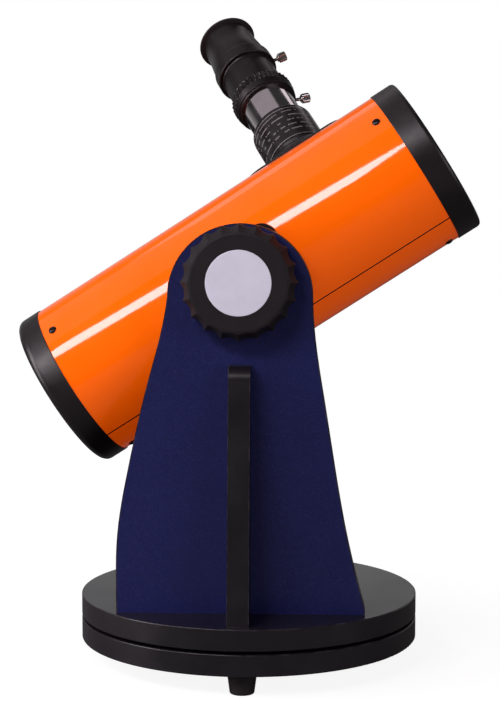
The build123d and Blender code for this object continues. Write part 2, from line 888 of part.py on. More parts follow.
with BuildPart() as secondary_holder:
    with BuildSketch(tube_station(focuser_s - 2 * secondary_radius)):
        Circle(secondary_radius)
    extrude(amount=2 * secondary_radius + secondary_holder_length)
    split(bisect_by=fold_back, keep=Keep.BOTTOM)
    with BuildSketch(tube_station(focuser_s + secondary_holder_length)):
        Circle(tube_screw_radius + seat_gap)
    extrude(amount=-secondary_bolt_bite, mode=Mode.SUBTRACT)
finish(secondary_holder, "secondary_holder")

with BuildPart() as spider:
    with BuildSketch(tube_station(hub_rear)):
        Circle(hub_radius)
    extrude(amount=hub_length)
    with BuildSketch(tube_station(hub_rear)):
        with PolarLocations(spigot_inner_radius / 2, vane_count, start_angle=90.0):
            Rectangle(spigot_inner_radius, vane_thickness)
    extrude(amount=hub_length)
    with BuildSketch(tube_station(hub_rear)):
        Circle(spigot_inner_radius - seat_gap)
    extrude(amount=hub_length, mode=Mode.INTERSECT)
    with BuildSketch(tube_station(hub_rear)):
        Circle(tube_screw_radius + seat_gap)
        with PolarLocations(collimation_reach, vane_count, start_angle=30.0):
            Circle(tube_screw_radius + seat_gap)
    extrude(amount=hub_length, mode=Mode.SUBTRACT)
finish(spider, "spider")

with BuildPart() as secondary_bolt:
    with BuildSketch(tube_station(hub_rear + hub_length)):
        Circle(tube_screw_head_radius)
    extrude(amount=tube_screw_head_height)
    with BuildSketch(tube_station(hub_rear + hub_length)):
        Circle(tube_screw_radius)
    extrude(amount=-(hub_length + hub_gap + secondary_bolt_bite))
finish(secondary_bolt, "secondary_bolt")

with BuildPart() as collimation_screws:
    with BuildSketch(tube_station(hub_rear + hub_length)):
        with PolarLocations(collimation_reach, vane_count, start_angle=30.0):
            Circle(tube_screw_head_radius)
    extrude(amount=tube_screw_head_height)
    with BuildSketch(tube_station(hub_rear + hub_length)):
        with PolarLocations(collimation_reach, vane_count, start_angle=30.0):
            Circle(tube_screw_radius)
    extrude(amount=-(hub_length + hub_gap))
finish(collimation_screws, "collimation_screws")

# ======== altitude bracket ========

bracket_screw_spots = [
    (along, across)
    for along in (-bracket_screw_x, bracket_screw_x)
    for across in (-bracket_screw_y, bracket_screw_y)
]

with BuildPart() as altitude_bracket:
    with BuildSketch(tube_surface(0, 0, bracket_face)):
        RectangleRounded(bracket_length, bracket_width, bracket_corner)
    extrude(amount=-(bracket_face - tube_radius / 2))
    with BuildSketch(tube_station(-bracket_length)):
        Circle(tube_radius + seat_gap)
    extrude(amount=2 * bracket_length, mode=Mode.SUBTRACT)
    with BuildSketch(tube_surface(0, 0, bracket_face)):
        Circle(insert_radius + seat_gap)
    extrude(amount=-insert_length, mode=Mode.SUBTRACT)
    with BuildSketch(tube_surface(0, 0, bracket_face)):
        with Locations(*bracket_screw_spots):
            Circle(bracket_head_radius + seat_gap)
    extrude(amount=-bracket_head_height, mode=Mode.SUBTRACT)
    with BuildSketch(tube_surface(0, 0, bracket_face)):
        with Locations(*bracket_screw_spots):
            Circle(bracket_screw_radius + seat_gap)
    extrude(amount=-tube_radius, mode=Mode.SUBTRACT)
finish(altitude_bracket, "altitude_bracket")

with BuildPart() as bracket_screws:
    with BuildSketch(tube_surface(0, 0, bracket_face)):
        with Locations(*bracket_screw_spots):
            Circle(bracket_head_radius)
    extrude(amount=-bracket_head_height)
    with BuildSketch(tube_surface(0, 0, bracket_face - bracket_head_height)):
        with Locations(*bracket_screw_spots):
            Circle(bracket_screw_radius)
    shank = bracket_face - bracket_head_height - shell_inner_radius + bracket_screw_bite
    extrude(amount=-shank)
finish(bracket_screws, "bracket_screws")

with BuildPart() as stud_insert:
    extrude(
        disc(tube_surface(0, 0, bracket_face), insert_radius, stud_radius + running_gap),
        amount=-insert_length,
    )
finish(stud_insert, "stud_insert")

# ======== focuser ========

with BuildPart() as focuser_housing:
    with BuildSketch(tube_profile):
        with BuildLine():
            Polyline(
                (focuser_s - saddle_length / 2, tube_radius / 2),
                (focuser_s - saddle_length / 2, saddle_face),
                (focuser_s + saddle_length / 2, saddle_face),
                (focuser_s + saddle_length / 2, tube_radius / 2),
                close=True,
            )
        make_face()
    revolve(axis=tube_axis)
    with BuildSketch(focus_level(tube_radius / 2)):
        RectangleRounded(saddle_length, saddle_width, saddle_corner)
    extrude(amount=tube_radius, mode=Mode.INTERSECT)
    with BuildSketch(focus_profile):
        with BuildLine():
            Polyline(
                (0, tube_radius / 2),
                (flare_radius, tube_radius / 2),
                (flare_radius, tube_radius),
                (housing_radius, tube_radius + flare_height),
                (housing_radius, housing_top),
                (0, housing_top),
                close=True,
            )
        make_face()
    revolve(axis=focus_axis)
    with BuildSketch(tube_station(focuser_s - saddle_length)):
        Circle(tube_radius + seat_gap)
    extrude(amount=2 * saddle_length, mode=Mode.SUBTRACT)
    with BuildSketch(focus_level(0)):
        Circle(housing_bore)
    extrude(amount=2 * housing_top, mode=Mode.SUBTRACT)
    with BuildSketch(focus_level(liner_bottom)):
        Circle(drawtube_radius + running_gap + liner_thickness + seat_gap)
    extrude(amount=liner_length, mode=Mode.SUBTRACT)
    cut_screw_holes(saddle_screw_places, 2 * tube_radius)
finish(focuser_housing, "focuser_housing")

with BuildPart() as friction_liner:
    extrude(
        disc(
            focus_level(liner_bottom),
            drawtube_radius + running_gap + liner_thickness,
            drawtube_radius + running_gap,
        ),
        amount=liner_length,
    )
finish(friction_liner, "friction_liner")

label_edge = focus_direction(label_turn)
label_profile = Plane(origin=focus_origin, x_dir=label_edge, z_dir=label_edge.cross(focus_out))

with BuildPart() as data_label:
    with BuildSketch(label_profile):
        with BuildLine():
            Polyline(
                (housing_radius, label_bottom),
                (housing_radius + label_thickness, label_bottom),
                (housing_radius + label_thickness, label_top),
                (housing_radius, label_top),
                close=True,
            )
        make_face()
    revolve(axis=focus_axis, revolution_arc=label_span)
finish(data_label, "data_label")


def side_hole(q, turn, radius, reach):
    """Clear a round hole that runs out from the focuser's axis."""
    extrude(disc(focus_side(q, turn), radius), amount=reach, mode=Mode.SUBTRACT)


end_ring_mid = (end_ring_bottom + end_ring_top) / 2
collar_mid = (collar_bottom + collar_top) / 2

with BuildPart() as drawtube:
    extrude(
        disc(focus_level(drawtube_bottom), drawtube_radius, drawtube_bore),
        amount=end_ring_top - end_ring_lip - drawtube_bottom,
    )
    side_hole(
        end_ring_mid, lower_thumbscrew_turn, thumbscrew_radius + running_gap, end_ring_radius
    )
finish(drawtube, "drawtube")

with BuildPart() as drawtube_ring:
    with BuildSketch(focus_profile):
        with BuildLine():
            Polyline(
                (drawtube_radius + seat_gap, end_ring_bottom),
                (end_ring_radius, end_ring_bottom),
                (end_ring_radius, end_ring_top),
                (drawtube_bore, end_ring_top),
                (drawtube_bore, end_ring_top - end_ring_lip),
                (drawtube_radius + seat_gap, end_ring_top - end_ring_lip),
                close=True,
            )
        make_face()
    revolve(axis=focus_axis)
    side_hole(
        end_ring_mid, lower_thumbscrew_turn, thumbscrew_radius + running_gap, 2 * end_ring_radius
    )
finish(drawtube_ring, "drawtube_ring")


def thumbscrew(q, turn, tip, surface):
    """A knurled-head screw that runs in from a surface to a tip radius."""
    with BuildPart() as screw:
        side = focus_side(q, turn)
        head_foot = surface + thumbscrew_gap
        with BuildSketch(side.offset(tip)):
            Circle(thumbscrew_radius)
        extrude(amount=head_foot - tip)
        with BuildSketch(side.offset(head_foot)):
            Circle(thumbscrew_head_radius)
            with PolarLocations(thumbscrew_head_radius, thumbscrew_ribs):
                Circle(thumbscrew_groove, mode=Mode.SUBTRACT)
        extrude(amount=thumbscrew_head_length)
    return screw


lower_thumbscrew = thumbscrew(
    end_ring_mid, lower_thumbscrew_turn, barrel_radius + free_gap, end_ring_radius
)
finish(lower_thumbscrew, "lower_thumbscrew")

# ======== extension ========

nose_bore = barrel_radius - barrel_wall
nose_bottom = end_ring_top - extension_nose

with BuildPart() as extension_nosepiece:
    extrude(
        disc(focus_level(nose_bottom), barrel_radius, nose_bore),
        amount=extension_nose + extension_grip - seat_gap,
    )
finish(extension_nosepiece, "extension_nosepiece")

with BuildPart() as extension_body:
    with BuildSketch(focus_profile):
        with BuildLine():
            Polyline(
                (barrel_radius + seat_gap, end_ring_top),
                (extension_radius, end_ring_top),
                (extension_radius, collar_bottom),
                (drawtube_bore, collar_bottom),
                (drawtube_bore, end_ring_top + extension_grip + lens_edge),
                (nose_bore, end_ring_top + extension_grip + lens_edge),
                (nose_bore, end_ring_top + extension_grip),
                (barrel_radius + seat_gap, end_ring_top + extension_grip),
                close=True,
            )
        make_face()
    revolve(axis=focus_axis)
finish(extension_body, "extension_body")

with BuildPart() as knurled_ring:
    with BuildSketch(focus_level(end_ring_top)):
        Circle(end_ring_radius)
        Circle(extension_radius + seat_gap, mode=Mode.SUBTRACT)
        with PolarLocations(end_ring_radius, knurl_ribs):
            Circle(knurl_groove, mode=Mode.SUBTRACT)
    extrude(amount=knurl_top - end_ring_top)
finish(knurled_ring, "knurled_ring")

with BuildPart() as extension_collar:
    extrude(
        disc(focus_level(collar_bottom), collar_radius, drawtube_bore),
        amount=collar_top - collar_bottom,
    )
    collar_rims = [
        edge
        for edge in extension_collar.edges().filter_by(GeomType.CIRCLE)
        if abs(edge.radius - collar_radius) < match_gap
    ]
    fillet(collar_rims, collar_round)
    side_hole(
        collar_mid, upper_thumbscrew_turn, thumbscrew_radius + running_gap, 2 * collar_radius
    )
finish(extension_collar, "extension_collar")

upper_thumbscrew = thumbscrew(
    collar_mid, upper_thumbscrew_turn, barrel_radius + free_gap, collar_radius
)
finish(upper_thumbscrew, "upper_thumbscrew")

lens_radius = nose_bore - seat_gap


def lens(bottom, radius):
    """A lens with one flat and one crowned face."""
    crown_curve = (radius**2 + lens_crown**2) / (2 * lens_crown)
    top = bottom + lens_edge + lens_crown
    with BuildPart() as glass:
        with BuildSketch(focus_level(bottom)):
            Circle(radius)
        extrude(amount=lens_edge + lens_crown)
        with Locations(focus_level(top - crown_curve)):
            Sphere(crown_curve, mode=Mode.INTERSECT)
    return glass


extension_lens = lens(nose_bottom + lens_inset, lens_radius)
finish(extension_lens, "extension_lens")

with BuildPart() as extension_lens_ring:
    extrude(
        disc(focus_level(nose_bottom), lens_radius, lens_radius - barrel_wall),
        amount=lens_inset,
    )
finish(extension_lens_ring, "extension_lens_ring")

# ======== eyepiece ========

eyepiece_bottom = collar_top - eyepiece_nose
eye_lens_seat = eyecup_bottom - lens_edge - lens_crown - lens_inset

with BuildPart() as eyepiece_barrel:
    extrude(
        disc(focus_level(eyepiece_bottom), barrel_radius, nose_bore),
        amount=eyepiece_nose,
    )
finish(eyepiece_barrel, "eyepiece_barrel")

with BuildPart() as eyepiece_body:
    with BuildSketch(focus_profile):
        with BuildLine():
            Line((nose_bore, collar_top), (eyepiece_base_radius, collar_top))
            Spline(
                (eyepiece_base_radius, collar_top),
                (eyepiece_waist_radius, eyepiece_waist_level),
                (eyepiece_waist_radius, eyecup_bottom),
                tangents=((0, 1), (0, 1)),
            )
            Polyline(
                (eyepiece_waist_radius, eyecup_bottom),
                (eye_lens_radius + seat_gap, eyecup_bottom),
                (eye_lens_radius + seat_gap, eye_lens_seat),
                (nose_bore, eye_lens_seat),
                (nose_bore, collar_top),
            )
        make_face()
    revolve(axis=focus_axis)
finish(eyepiece_body, "eyepiece_body")

with BuildPart() as eyecup:
    with BuildSketch(focus_profile):
        with BuildLine():
            Polyline(
                (eye_lens_radius - barrel_wall, eyecup_bottom),
                (eyecup_radius, eyecup_bottom),
                (eyecup_radius, eyecup_top),
                (eyepiece_waist_radius - barrel_wall, eyecup_top),
                close=True,
            )
        make_face()
    revolve(axis=focus_axis)
finish(eyecup, "eyecup")

field_lens = lens(eyepiece_bottom + lens_inset, lens_radius)
finish(field_lens, "field_lens")

with BuildPart() as field_lens_ring:
    extrude(
        disc(focus_level(eyepiece_bottom), lens_radius, lens_radius - barrel_wall),
        amount=lens_inset,
    )
finish(field_lens_ring, "field_lens_ring")

eye_lens = lens(eye_lens_seat, eye_lens_radius)
finish(eye_lens, "eye_lens")
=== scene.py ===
"""Looks for a tabletop reflector telescope that stands on a one-arm turning base.

The CAD frame is loaded first and never changed. Every size that a neighbour depends on is read
from it, and the sizes and colours that a user would change are properties of the scene.
Lengths are metres, in the frame's own axes: +Z up, -Y towards the arm and its knob.
"""

import json
import math
from collections import namedtuple

import bmesh
import bpy
from bpy.props import FloatProperty, FloatVectorProperty, IntProperty, PointerProperty
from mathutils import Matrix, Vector


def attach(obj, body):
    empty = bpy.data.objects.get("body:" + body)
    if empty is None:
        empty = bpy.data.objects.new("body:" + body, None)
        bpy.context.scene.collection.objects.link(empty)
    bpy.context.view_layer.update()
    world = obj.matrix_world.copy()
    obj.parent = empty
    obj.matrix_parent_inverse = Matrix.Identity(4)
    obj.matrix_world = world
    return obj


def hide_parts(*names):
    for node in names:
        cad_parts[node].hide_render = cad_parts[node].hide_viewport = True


bl_info = {
    "name": "Tabletop reflector telescope",
    "version": (1, 0, 0),
    "blender": (4, 5, 0),
    "location": "3D View > Sidebar > Telescope",
    "description": "Builds the visible pieces, finishes and studio of a small reflector telescope",
    "category": "Object",
}

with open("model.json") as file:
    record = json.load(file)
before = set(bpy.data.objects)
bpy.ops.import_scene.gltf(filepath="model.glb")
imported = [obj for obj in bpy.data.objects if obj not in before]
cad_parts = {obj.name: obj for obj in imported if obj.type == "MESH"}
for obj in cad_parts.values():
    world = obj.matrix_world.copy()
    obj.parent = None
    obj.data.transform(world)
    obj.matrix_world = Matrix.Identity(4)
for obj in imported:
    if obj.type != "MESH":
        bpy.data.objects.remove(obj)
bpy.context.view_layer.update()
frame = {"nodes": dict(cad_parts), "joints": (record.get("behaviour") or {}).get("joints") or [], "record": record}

MM = 0.001
joints = {joint["name"]: joint for joint in frame["joints"]}
mounts = {mount["name"]: mount for mount in frame["record"]["mounts"]}

Span = namedtuple("Span", "low high inner outer")


# ======== axes that round pieces share ========


class Spin:
    """An axis, and two directions across it that angles are counted from."""

    def __init__(self, origin, along, across):
        self.origin = Vector(origin)
        self.along = Vector(along).normalized()
        across = Vector(across)
        self.across = (across - self.along * across.dot(self.along)).normalized()
        self.side = self.along.cross(self.across)

    def direction(self, angle):
        """The direction away from the axis at this angle."""
        return self.across * math.cos(angle) + self.side * math.sin(angle)

    def point(self, level, radius, angle):
        """The point at this level along the axis, this far from it."""
        return self.origin + self.along * level + self.direction(angle) * radius

    def polar(self, place):
        """(level, radius, angle) of a point."""
        reach = Vector(place) - self.origin
        level = reach.dot(self.along)
        flat = reach - self.along * level
        return level, flat.length, math.atan2(flat.dot(self.side), flat.dot(self.across))

    def span(self, node):
        """How far a CAD node reaches along the axis and away from it."""
        polar = [self.polar(v.co) for v in frame["nodes"][node].data.vertices]
        levels = [p[0] for p in polar]
        radii = [p[1] for p in polar]
        return Span(min(levels), max(levels), min(radii), max(radii))


pivot = Vector(joints["altitude_tilt"]["pos_m"])
tube = Spin(pivot, mounts["front_ring_outside"]["axis"], (0, -1, 0))
eyecup_place = Vector(mounts["eyecup_rim"]["pos_m"])
focus_foot = pivot + tube.along * (eyecup_place - pivot).dot(tube.along)
focuser = Spin(focus_foot, joints["focus_slide"]["axis"], tube.along)
knob_axis = Spin(pivot, (0, -1, 0), (0, 0, 1))
lower_screw_axis = Spin(
    joints["lower_thumbscrew_turn"]["pos_m"], joints["lower_thumbscrew_turn"]["axis"], focuser.along
)
upper_screw_axis = Spin(
    joints["upper_thumbscrew_turn"]["pos_m"], joints["upper_thumbscrew_turn"]["axis"], focuser.along
)


# ======== properties ========


def length(label, text, default):
    """A length property, given in millimetres and held in metres."""
    return FloatProperty(name=label, description=text, default=default * MM, unit="LENGTH", min=0.0)


def colour(label, text, default):
    """A colour property in linear values."""
    return FloatVectorProperty(
        name=label, description=text, default=default, subtype="COLOR", size=3, min=0.0, max=1.0
    )


def watts(label, text, default):
    """A light's power."""
    return FloatProperty(name=label, description=text, default=default, min=0.0, subtype="POWER")


class TelescopeSizes(bpy.types.PropertyGroup):
    """Sizes that belong to the looks alone. The rest come from the CAD frame."""

    knob_lobes: IntProperty(name="Knob lobes", description="Scallops round the knob", default=20, min=3)
    knob_scallop: length("Knob scallop", "Depth of each scallop in the knob's rim", 2.1)
    knob_rim_height: length("Knob rim", "Height of the knob's scalloped rim", 11.5)
    knob_slope: length("Knob slope", "How far the knob's front face stands in from its rim", 4.9)
    grip_ribs: IntProperty(name="Grip ribs", description="Ribs round the grip ring", default=40, min=8)
    grip_depth: length("Grip depth", "Depth of the grooves in the grip ring", 1.1)
    thumb_ribs: IntProperty(name="Thumb ribs", description="Ribs on a thumbscrew's head", default=18, min=6)
    thumb_depth: length("Thumb depth", "Depth of the grooves in a thumbscrew's head", 0.3)
    thread_pitch: length("Thread pitch", "Distance between the thumbscrews' thread crests", 0.6)
    seam_width: length("Seam width", "Width of the seam along the painted tube", 0.7)
    seam_depth: length("Seam depth", "Depth of the seam along the painted tube", 0.3)
    seam_turn: FloatProperty(
        name="Seam place", description="Where the seam runs, down from the arm's side",
        default=math.radians(45.0), subtype="ANGLE",
    )
    flare_spread: length("Flare spread", "How far the focuser's foot flares out", 9.2)
    flare_height: length("Flare height", "How high the focuser's foot starts to flare", 9.5)
    saddle_length: length("Saddle length", "Length of the focuser's saddle along the tube", 74.0)
    saddle_width: length("Saddle width", "Width of the focuser's saddle across the tube", 60.6)
    saddle_thickness: length("Saddle thickness", "Thickness of the focuser's saddle", 2.0)
    saddle_corner: length("Saddle corner", "Corner radius of the focuser's saddle", 14.0)
    screw_radius: length("Screw head", "Radius of the domed screws on the tube", 2.5)
    screw_height: length("Screw height", "Height of the domed screws on the tube", 1.4)


class TelescopeColours(bpy.types.PropertyGroup):
    """Colours of the finishes, in linear values."""

    paint: colour("Tube paint", "Gloss enamel of the tube", (0.98, 0.150, 0.001))
    arm: colour("Arm", "Speckled laminate of the side arm", (0.012, 0.015, 0.095))
    board: colour("Boards", "Laminate of the two round boards and the rib", (0.009, 0.008, 0.011))
    plastic: colour("Black plastic", "Moulded caps, focuser and rings", (0.008, 0.006, 0.007))
    knob: colour("Knob", "Moulded altitude knob", (0.012, 0.010, 0.012))
    cover: colour("Knob disc", "Round cover in the knob's face", (0.80, 0.83, 0.95))
    chrome: colour("Chrome", "Plated focuser tube", (0.80, 0.74, 0.77))
    steel: colour("Steel", "Thumbscrews, washers and bolts", (0.56, 0.54, 0.53))


class TelescopeStudio(bpy.types.PropertyGroup):
    """The camera and the lights round the telescope."""

    camera_place: FloatVectorProperty(
        name="Camera place", description="Where the camera stands",
        default=(0.0456, -1.0357, 0.2799), subtype="TRANSLATION",
    )
    camera_turn: FloatVectorProperty(
        name="Camera turn", description="How the camera is turned",
        default=(math.radians(84.683), 0.0, math.radians(2.482)), subtype="EULER",
    )
    camera_lens: FloatProperty(name="Lens", description="Focal length in mm", default=86.13, min=1.0)
    key_power: watts("Key light", "Narrow softbox in front, high on the left", 9.5)
    side_power: watts("Side light", "Softbox low on the left", 10.0)
    rim_power: watts("Rim light", "Strip behind and above the tube", 0.8)
    fill_power: watts("Fill light", "Wide soft light on the right", 5.0)
    top_power: watts("Top light", "Broad pinkish light overhead", 1.5)
    sky: FloatProperty(name="Room light", description="Even light from all round", default=0.03, min=0.0)
    backdrop: FloatProperty(name="Backdrop", description="Light from the pale wall", default=0.42, min=0.0)
    # the floor's glow under the telescope, where it is dimmed as a painted shadow
    floor_glow_in_painted_shadow: FloatProperty(
        name="Floor glow", description="How bright the floor looks", default=0.9, min=0.0,
    )


# ======== turned pieces ========


def corner_arc(before, corner, after, rounding, steps):
    """Points of a round corner in an outline, with a support point beside each end."""
    back = before - corner
    ahead = after - corner
    half = back.angle(ahead) / 2
    tangent = min(rounding / math.tan(half), 0.42 * back.length, 0.42 * ahead.length)
    back.normalize()
    ahead.normalize()
    centre = corner + (back + ahead).normalized() * (tangent / math.cos(half))
    first = corner + back * tangent - centre
    last = corner + ahead * tangent - centre
    sweep = math.pi - 2 * half
    support = tangent * 0.15
    points = [corner + back * (tangent + support)]
    for i in range(steps + 1):
        share = i / steps
        blend = first * math.sin((1 - share) * sweep) + last * math.sin(share * sweep)
        points.append(centre + blend / math.sin(sweep))
    points.append(corner + ahead * (tangent + support))
    return points


def rounded(outline, closed=True, steps=5):
    """An outline of (level, radius[, rounding[, grip]]) as plain (level, radius, grip) points."""
    full = [tuple(p) + (0.0,) * (4 - len(p)) for p in outline]
    result = []
    for i, (level, radius, rounding, grip) in enumerate(full):
        corner = Vector((level, radius))
        at_end = not closed and i in (0, len(full) - 1)
        if rounding <= 0.0 or at_end:
            result.append((level, radius, grip))
            continue
        before = Vector(full[i - 1][:2])
        after = Vector(full[(i + 1) % len(full)][:2])
        for point in corner_arc(before, corner, after, rounding, steps):
            result.append((point.x, point.y, grip))
    return result


def shaded(mesh, sharp_angle=32.0):
    """Smooth shading, with edges sharper than this angle kept crisp."""
    mesh.shade_smooth()
    mesh.set_sharp_from_angle(angle=math.radians(sharp_angle))


def linked_object(name, mesh):
    """A new object with this mesh, at the origin."""
    piece = bpy.data.objects.new(name, mesh)
    bpy.context.scene.collection.objects.link(piece)
    return piece


def turned(name, spin, outline, segments=160, closed=True, sweep=None, angles=None, sharp_angle=32.0):
    """A solid of revolution. The outline is a list of points, or a function of the angle.

    A UV map called wrap holds the distance round the axis and along it, in millimetres.
    """
    if angles is None:
        start, stop = sweep or (0.0, 2 * math.pi)
        angles = [start + (stop - start) * i / segments for i in range(segments + 1)]
    full_turn = sweep is None
    columns = angles[:-1] if full_turn else angles
    shape = outline if callable(outline) else (lambda angle: outline)
    bm = bmesh.new()
    grip_layer = bm.verts.layers.float.new("grip")
    uv_layer = bm.loops.layers.uv.new("wrap")
    poles = {}
    grid = []
    widest = max(p[1] for p in shape(angles[0]))
    for angle in columns:
        column = []
        for j, (level, radius, grip) in enumerate(shape(angle)):
            if radius < 1e-7 and j in poles:
                column.append(poles[j])
                continue
            vert = bm.verts.new(spin.point(level, radius, angle))
            vert[grip_layer] = grip
            column.append(vert)
            if radius < 1e-7:
                poles[j] = vert
        grid.append(column)
    rows = len(grid[0])
    last_row = rows if closed else rows - 1
    for i in range(len(angles) - 1):
        here = grid[i]
        there = grid[(i + 1) % len(grid)]
        for j in range(last_row):
            k = (j + 1) % rows
            corners = [(here[j], i), (there[j], i + 1), (there[k], i + 1), (here[k], i)]
            kept = []
            for corner in corners:
                if corner[0] not in [c[0] for c in kept]:
                    kept.append(corner)
            if len(kept) < 3:
                continue
            face = bm.faces.new([c[0] for c in kept])
            for loop, (vert, column) in zip(face.loops, kept):
                level = (vert.co - spin.origin).dot(spin.along)
                loop[uv_layer].uv = (angles[column] * widest / MM, level / MM)
    if not full_turn:
        bm.faces.new(grid[0])
        bm.faces.new(list(reversed(grid[-1])))
    bmesh.ops.recalc_face_normals(bm, faces=bm.faces)
    mesh = bpy.data.meshes.new(name)
    bm.to_mesh(mesh)
    bm.free()
    shaded(mesh, sharp_angle)
    return linked_object(name, mesh)


def settle(piece, body, nodes, slot, *materials):
    """Give a piece its materials and its body, and hide the CAD nodes that it stands for. The slot is not used."""
    if materials:
        piece.data.materials.clear()
        for material in materials:
            piece.data.materials.append(material)
    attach(piece, body)
    if nodes:
        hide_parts(*nodes)


def dress(material, *nodes):
    """Put a material on CAD nodes that keep their own shape."""
    for node in nodes:
        for slot in frame["nodes"][node].material_slots:
            slot.material = material


# ======== node trees ========


class Wires:
    """Adds nodes to a tree, and sets or links their inputs by name or number."""

    def __init__(self, tree):
        self.tree = tree

    def add(self, kind, inputs=None, **settings):
        node = self.tree.nodes.new(kind)
        for key, value in settings.items():
            setattr(node, key, value)
        for key, value in (inputs or {}).items():
            if isinstance(value, bpy.types.NodeSocket):
                self.tree.links.new(value, node.inputs[key])
            else:
                node.inputs[key].default_value = value
        return node

    def math(self, operation, *values, clamp=False):
        node = self.add("ShaderNodeMath", dict(enumerate(values)), operation=operation, use_clamp=clamp)
        return node.outputs[0]

    def vector(self, operation, *values):
        node = self.add("ShaderNodeVectorMath", dict(enumerate(values)), operation=operation)
        single = operation in ("DOT_PRODUCT", "LENGTH", "DISTANCE")
        return node.outputs["Value" if single else "Vector"]

    def scaled(self, vector, factor):
        node = self.add("ShaderNodeVectorMath", {0: vector, "Scale": factor}, operation="SCALE")
        return node.outputs["Vector"]

    def remap(self, value, low, high, new_low=0.0, new_high=1.0):
        inputs = {"Value": value, 1: low, 2: high, 3: new_low, 4: new_high}
        return self.add("ShaderNodeMapRange", inputs).outputs["Result"]

    def mix(self, factor, first, second):
        inputs = {0: factor, 6: first, 7: second}
        return self.add("ShaderNodeMix", inputs, data_type="RGBA").outputs[2]

    def noise(self, vector, scale, detail=3.0, roughness=0.5):
        inputs = {"Vector": vector, "Scale": scale, "Detail": detail, "Roughness": roughness}
        return self.add("ShaderNodeTexNoise", inputs).outputs["Fac"]


def new_tree(name, kind, inputs, outputs):
    """A node group with these (label, socket type, default) inputs and (label, type) outputs."""
    tree = bpy.data.node_groups.new(name, kind)
    for label, socket_type, default in inputs:
        socket = tree.interface.new_socket(label, in_out="INPUT", socket_type=socket_type)
        if default is not None:
            socket.default_value = default
    for label, socket_type in outputs:
        tree.interface.new_socket(label, in_out="OUTPUT", socket_type=socket_type)
    wires = Wires(tree)
    return tree, wires, wires.add("NodeGroupInput"), wires.add("NodeGroupOutput")


def bake_tree(source, tree, values, name):
    """Run a geometry tree on an object and return a plain mesh object. The source is removed."""
    modifier = source.modifiers.new("shape", "NODES")
    modifier.node_group = tree
    for item in tree.interface.items_tree:
        if item.in_out == "INPUT" and item.name in values:
            modifier[item.identifier] = values[item.name]
    depsgraph = bpy.context.evaluated_depsgraph_get()
    evaluated = source.evaluated_get(depsgraph)
    mesh = bpy.data.meshes.new_from_object(evaluated, preserve_all_data_layers=True, depsgraph=depsgraph)
    mesh.name = name
    source.modifiers.clear()
    bpy.data.objects.remove(source)
    return linked_object(name, mesh)


def scallop_tree():
    """Geometry nodes that cut even scallops or ribs into the grip of a turned piece."""
    inputs = [
        ("Geometry", "NodeSocketGeometry", None),
        ("Centre", "NodeSocketVector", (0, 0, 0)),
        ("Along", "NodeSocketVector", (0, 0, 1)),
        ("Across", "NodeSocketVector", (1, 0, 0)),
        ("Count", "NodeSocketInt", 20),
        ("Depth", "NodeSocketFloat", 0.001),
        ("Hollow", "NodeSocketFloat", 2.0),
        ("Finish", "NodeSocketMaterial", None),
    ]
    tree, wires, start, end = new_tree(
        "scalloped grip", "GeometryNodeTree", inputs, [("Geometry", "NodeSocketGeometry")]
    )
    given = start.outputs
    place = wires.add("GeometryNodeInputPosition").outputs[0]
    reach = wires.vector("SUBTRACT", place, given["Centre"])
    side = wires.vector("CROSS_PRODUCT", given["Along"], given["Across"])
    over = wires.vector("DOT_PRODUCT", reach, given["Across"])
    up = wires.vector("DOT_PRODUCT", reach, side)
    angle = wires.math("ARCTAN2", up, over)
    turns = wires.math("MULTIPLY", wires.math("DIVIDE", angle, 2 * math.pi), given["Count"])
    share = wires.math("FRACT", turns)
    peak = wires.math("ABSOLUTE", wires.math("MULTIPLY_ADD", share, 2.0, -1.0))
    crest = wires.math("POWER", peak, given["Hollow"])
    grip = wires.add("GeometryNodeInputNamedAttribute", {"Name": "grip"}, data_type="FLOAT")
    depth = wires.math("MULTIPLY", given["Depth"], grip.outputs["Attribute"])
    push = wires.math("MULTIPLY", wires.math("SUBTRACT", crest, 1.0), depth)
    outward = wires.vector("ADD", wires.scaled(given["Across"], over), wires.scaled(side, up))
    offset = wires.scaled(wires.vector("NORMALIZE", outward), push)
    moved = wires.add("GeometryNodeSetPosition", {"Geometry": given["Geometry"], "Offset": offset})
    plain = wires.add("GeometryNodeRealizeInstances", {0: moved.outputs[0]})
    coated = wires.add("GeometryNodeSetMaterial", {0: plain.outputs[0], "Material": given["Finish"]})
    wires.tree.links.new(coated.outputs[0], end.inputs[0])
    return tree


def screw_tree():
    """Geometry nodes that stand a screw on each point, turned at random about its own axis."""
    inputs = [
        ("Geometry", "NodeSocketGeometry", None),
        ("Screw", "NodeSocketObject", None),
        ("Seed", "NodeSocketInt", 3),
        ("Finish", "NodeSocketMaterial", None),
    ]
    tree, wires, start, end = new_tree(
        "screws on points", "GeometryNodeTree", inputs, [("Geometry", "NodeSocketGeometry")]
    )
    given = start.outputs
    facing = wires.add("GeometryNodeInputNamedAttribute", {"Name": "facing"}, data_type="FLOAT_VECTOR")
    stand = wires.add(
        "FunctionNodeAlignRotationToVector", {"Vector": facing.outputs["Attribute"]}, axis="Z"
    )
    random = wires.add("FunctionNodeRandomValue", {"Seed": given["Seed"]}, data_type="FLOAT")
    turn = wires.math("MULTIPLY", random.outputs[1], 2 * math.pi)
    spin = wires.add("FunctionNodeAxisAngleToRotation", {"Angle": turn})
    rotation = wires.add(
        "FunctionNodeRotateRotation", {0: stand.outputs[0], 1: spin.outputs[0]}, rotation_space="LOCAL"
    )
    screw = wires.add("GeometryNodeObjectInfo", {"Object": given["Screw"]})
    placed = wires.add(
        "GeometryNodeInstanceOnPoints",
        {
            "Points": given["Geometry"],
            "Instance": screw.outputs["Geometry"],
            "Rotation": rotation.outputs[0],
        },
    )
    plain = wires.add("GeometryNodeRealizeInstances", {0: placed.outputs[0]})
    coated = wires.add("GeometryNodeSetMaterial", {0: plain.outputs[0], "Material": given["Finish"]})
    wires.tree.links.new(coated.outputs[0], end.inputs[0])
    return tree


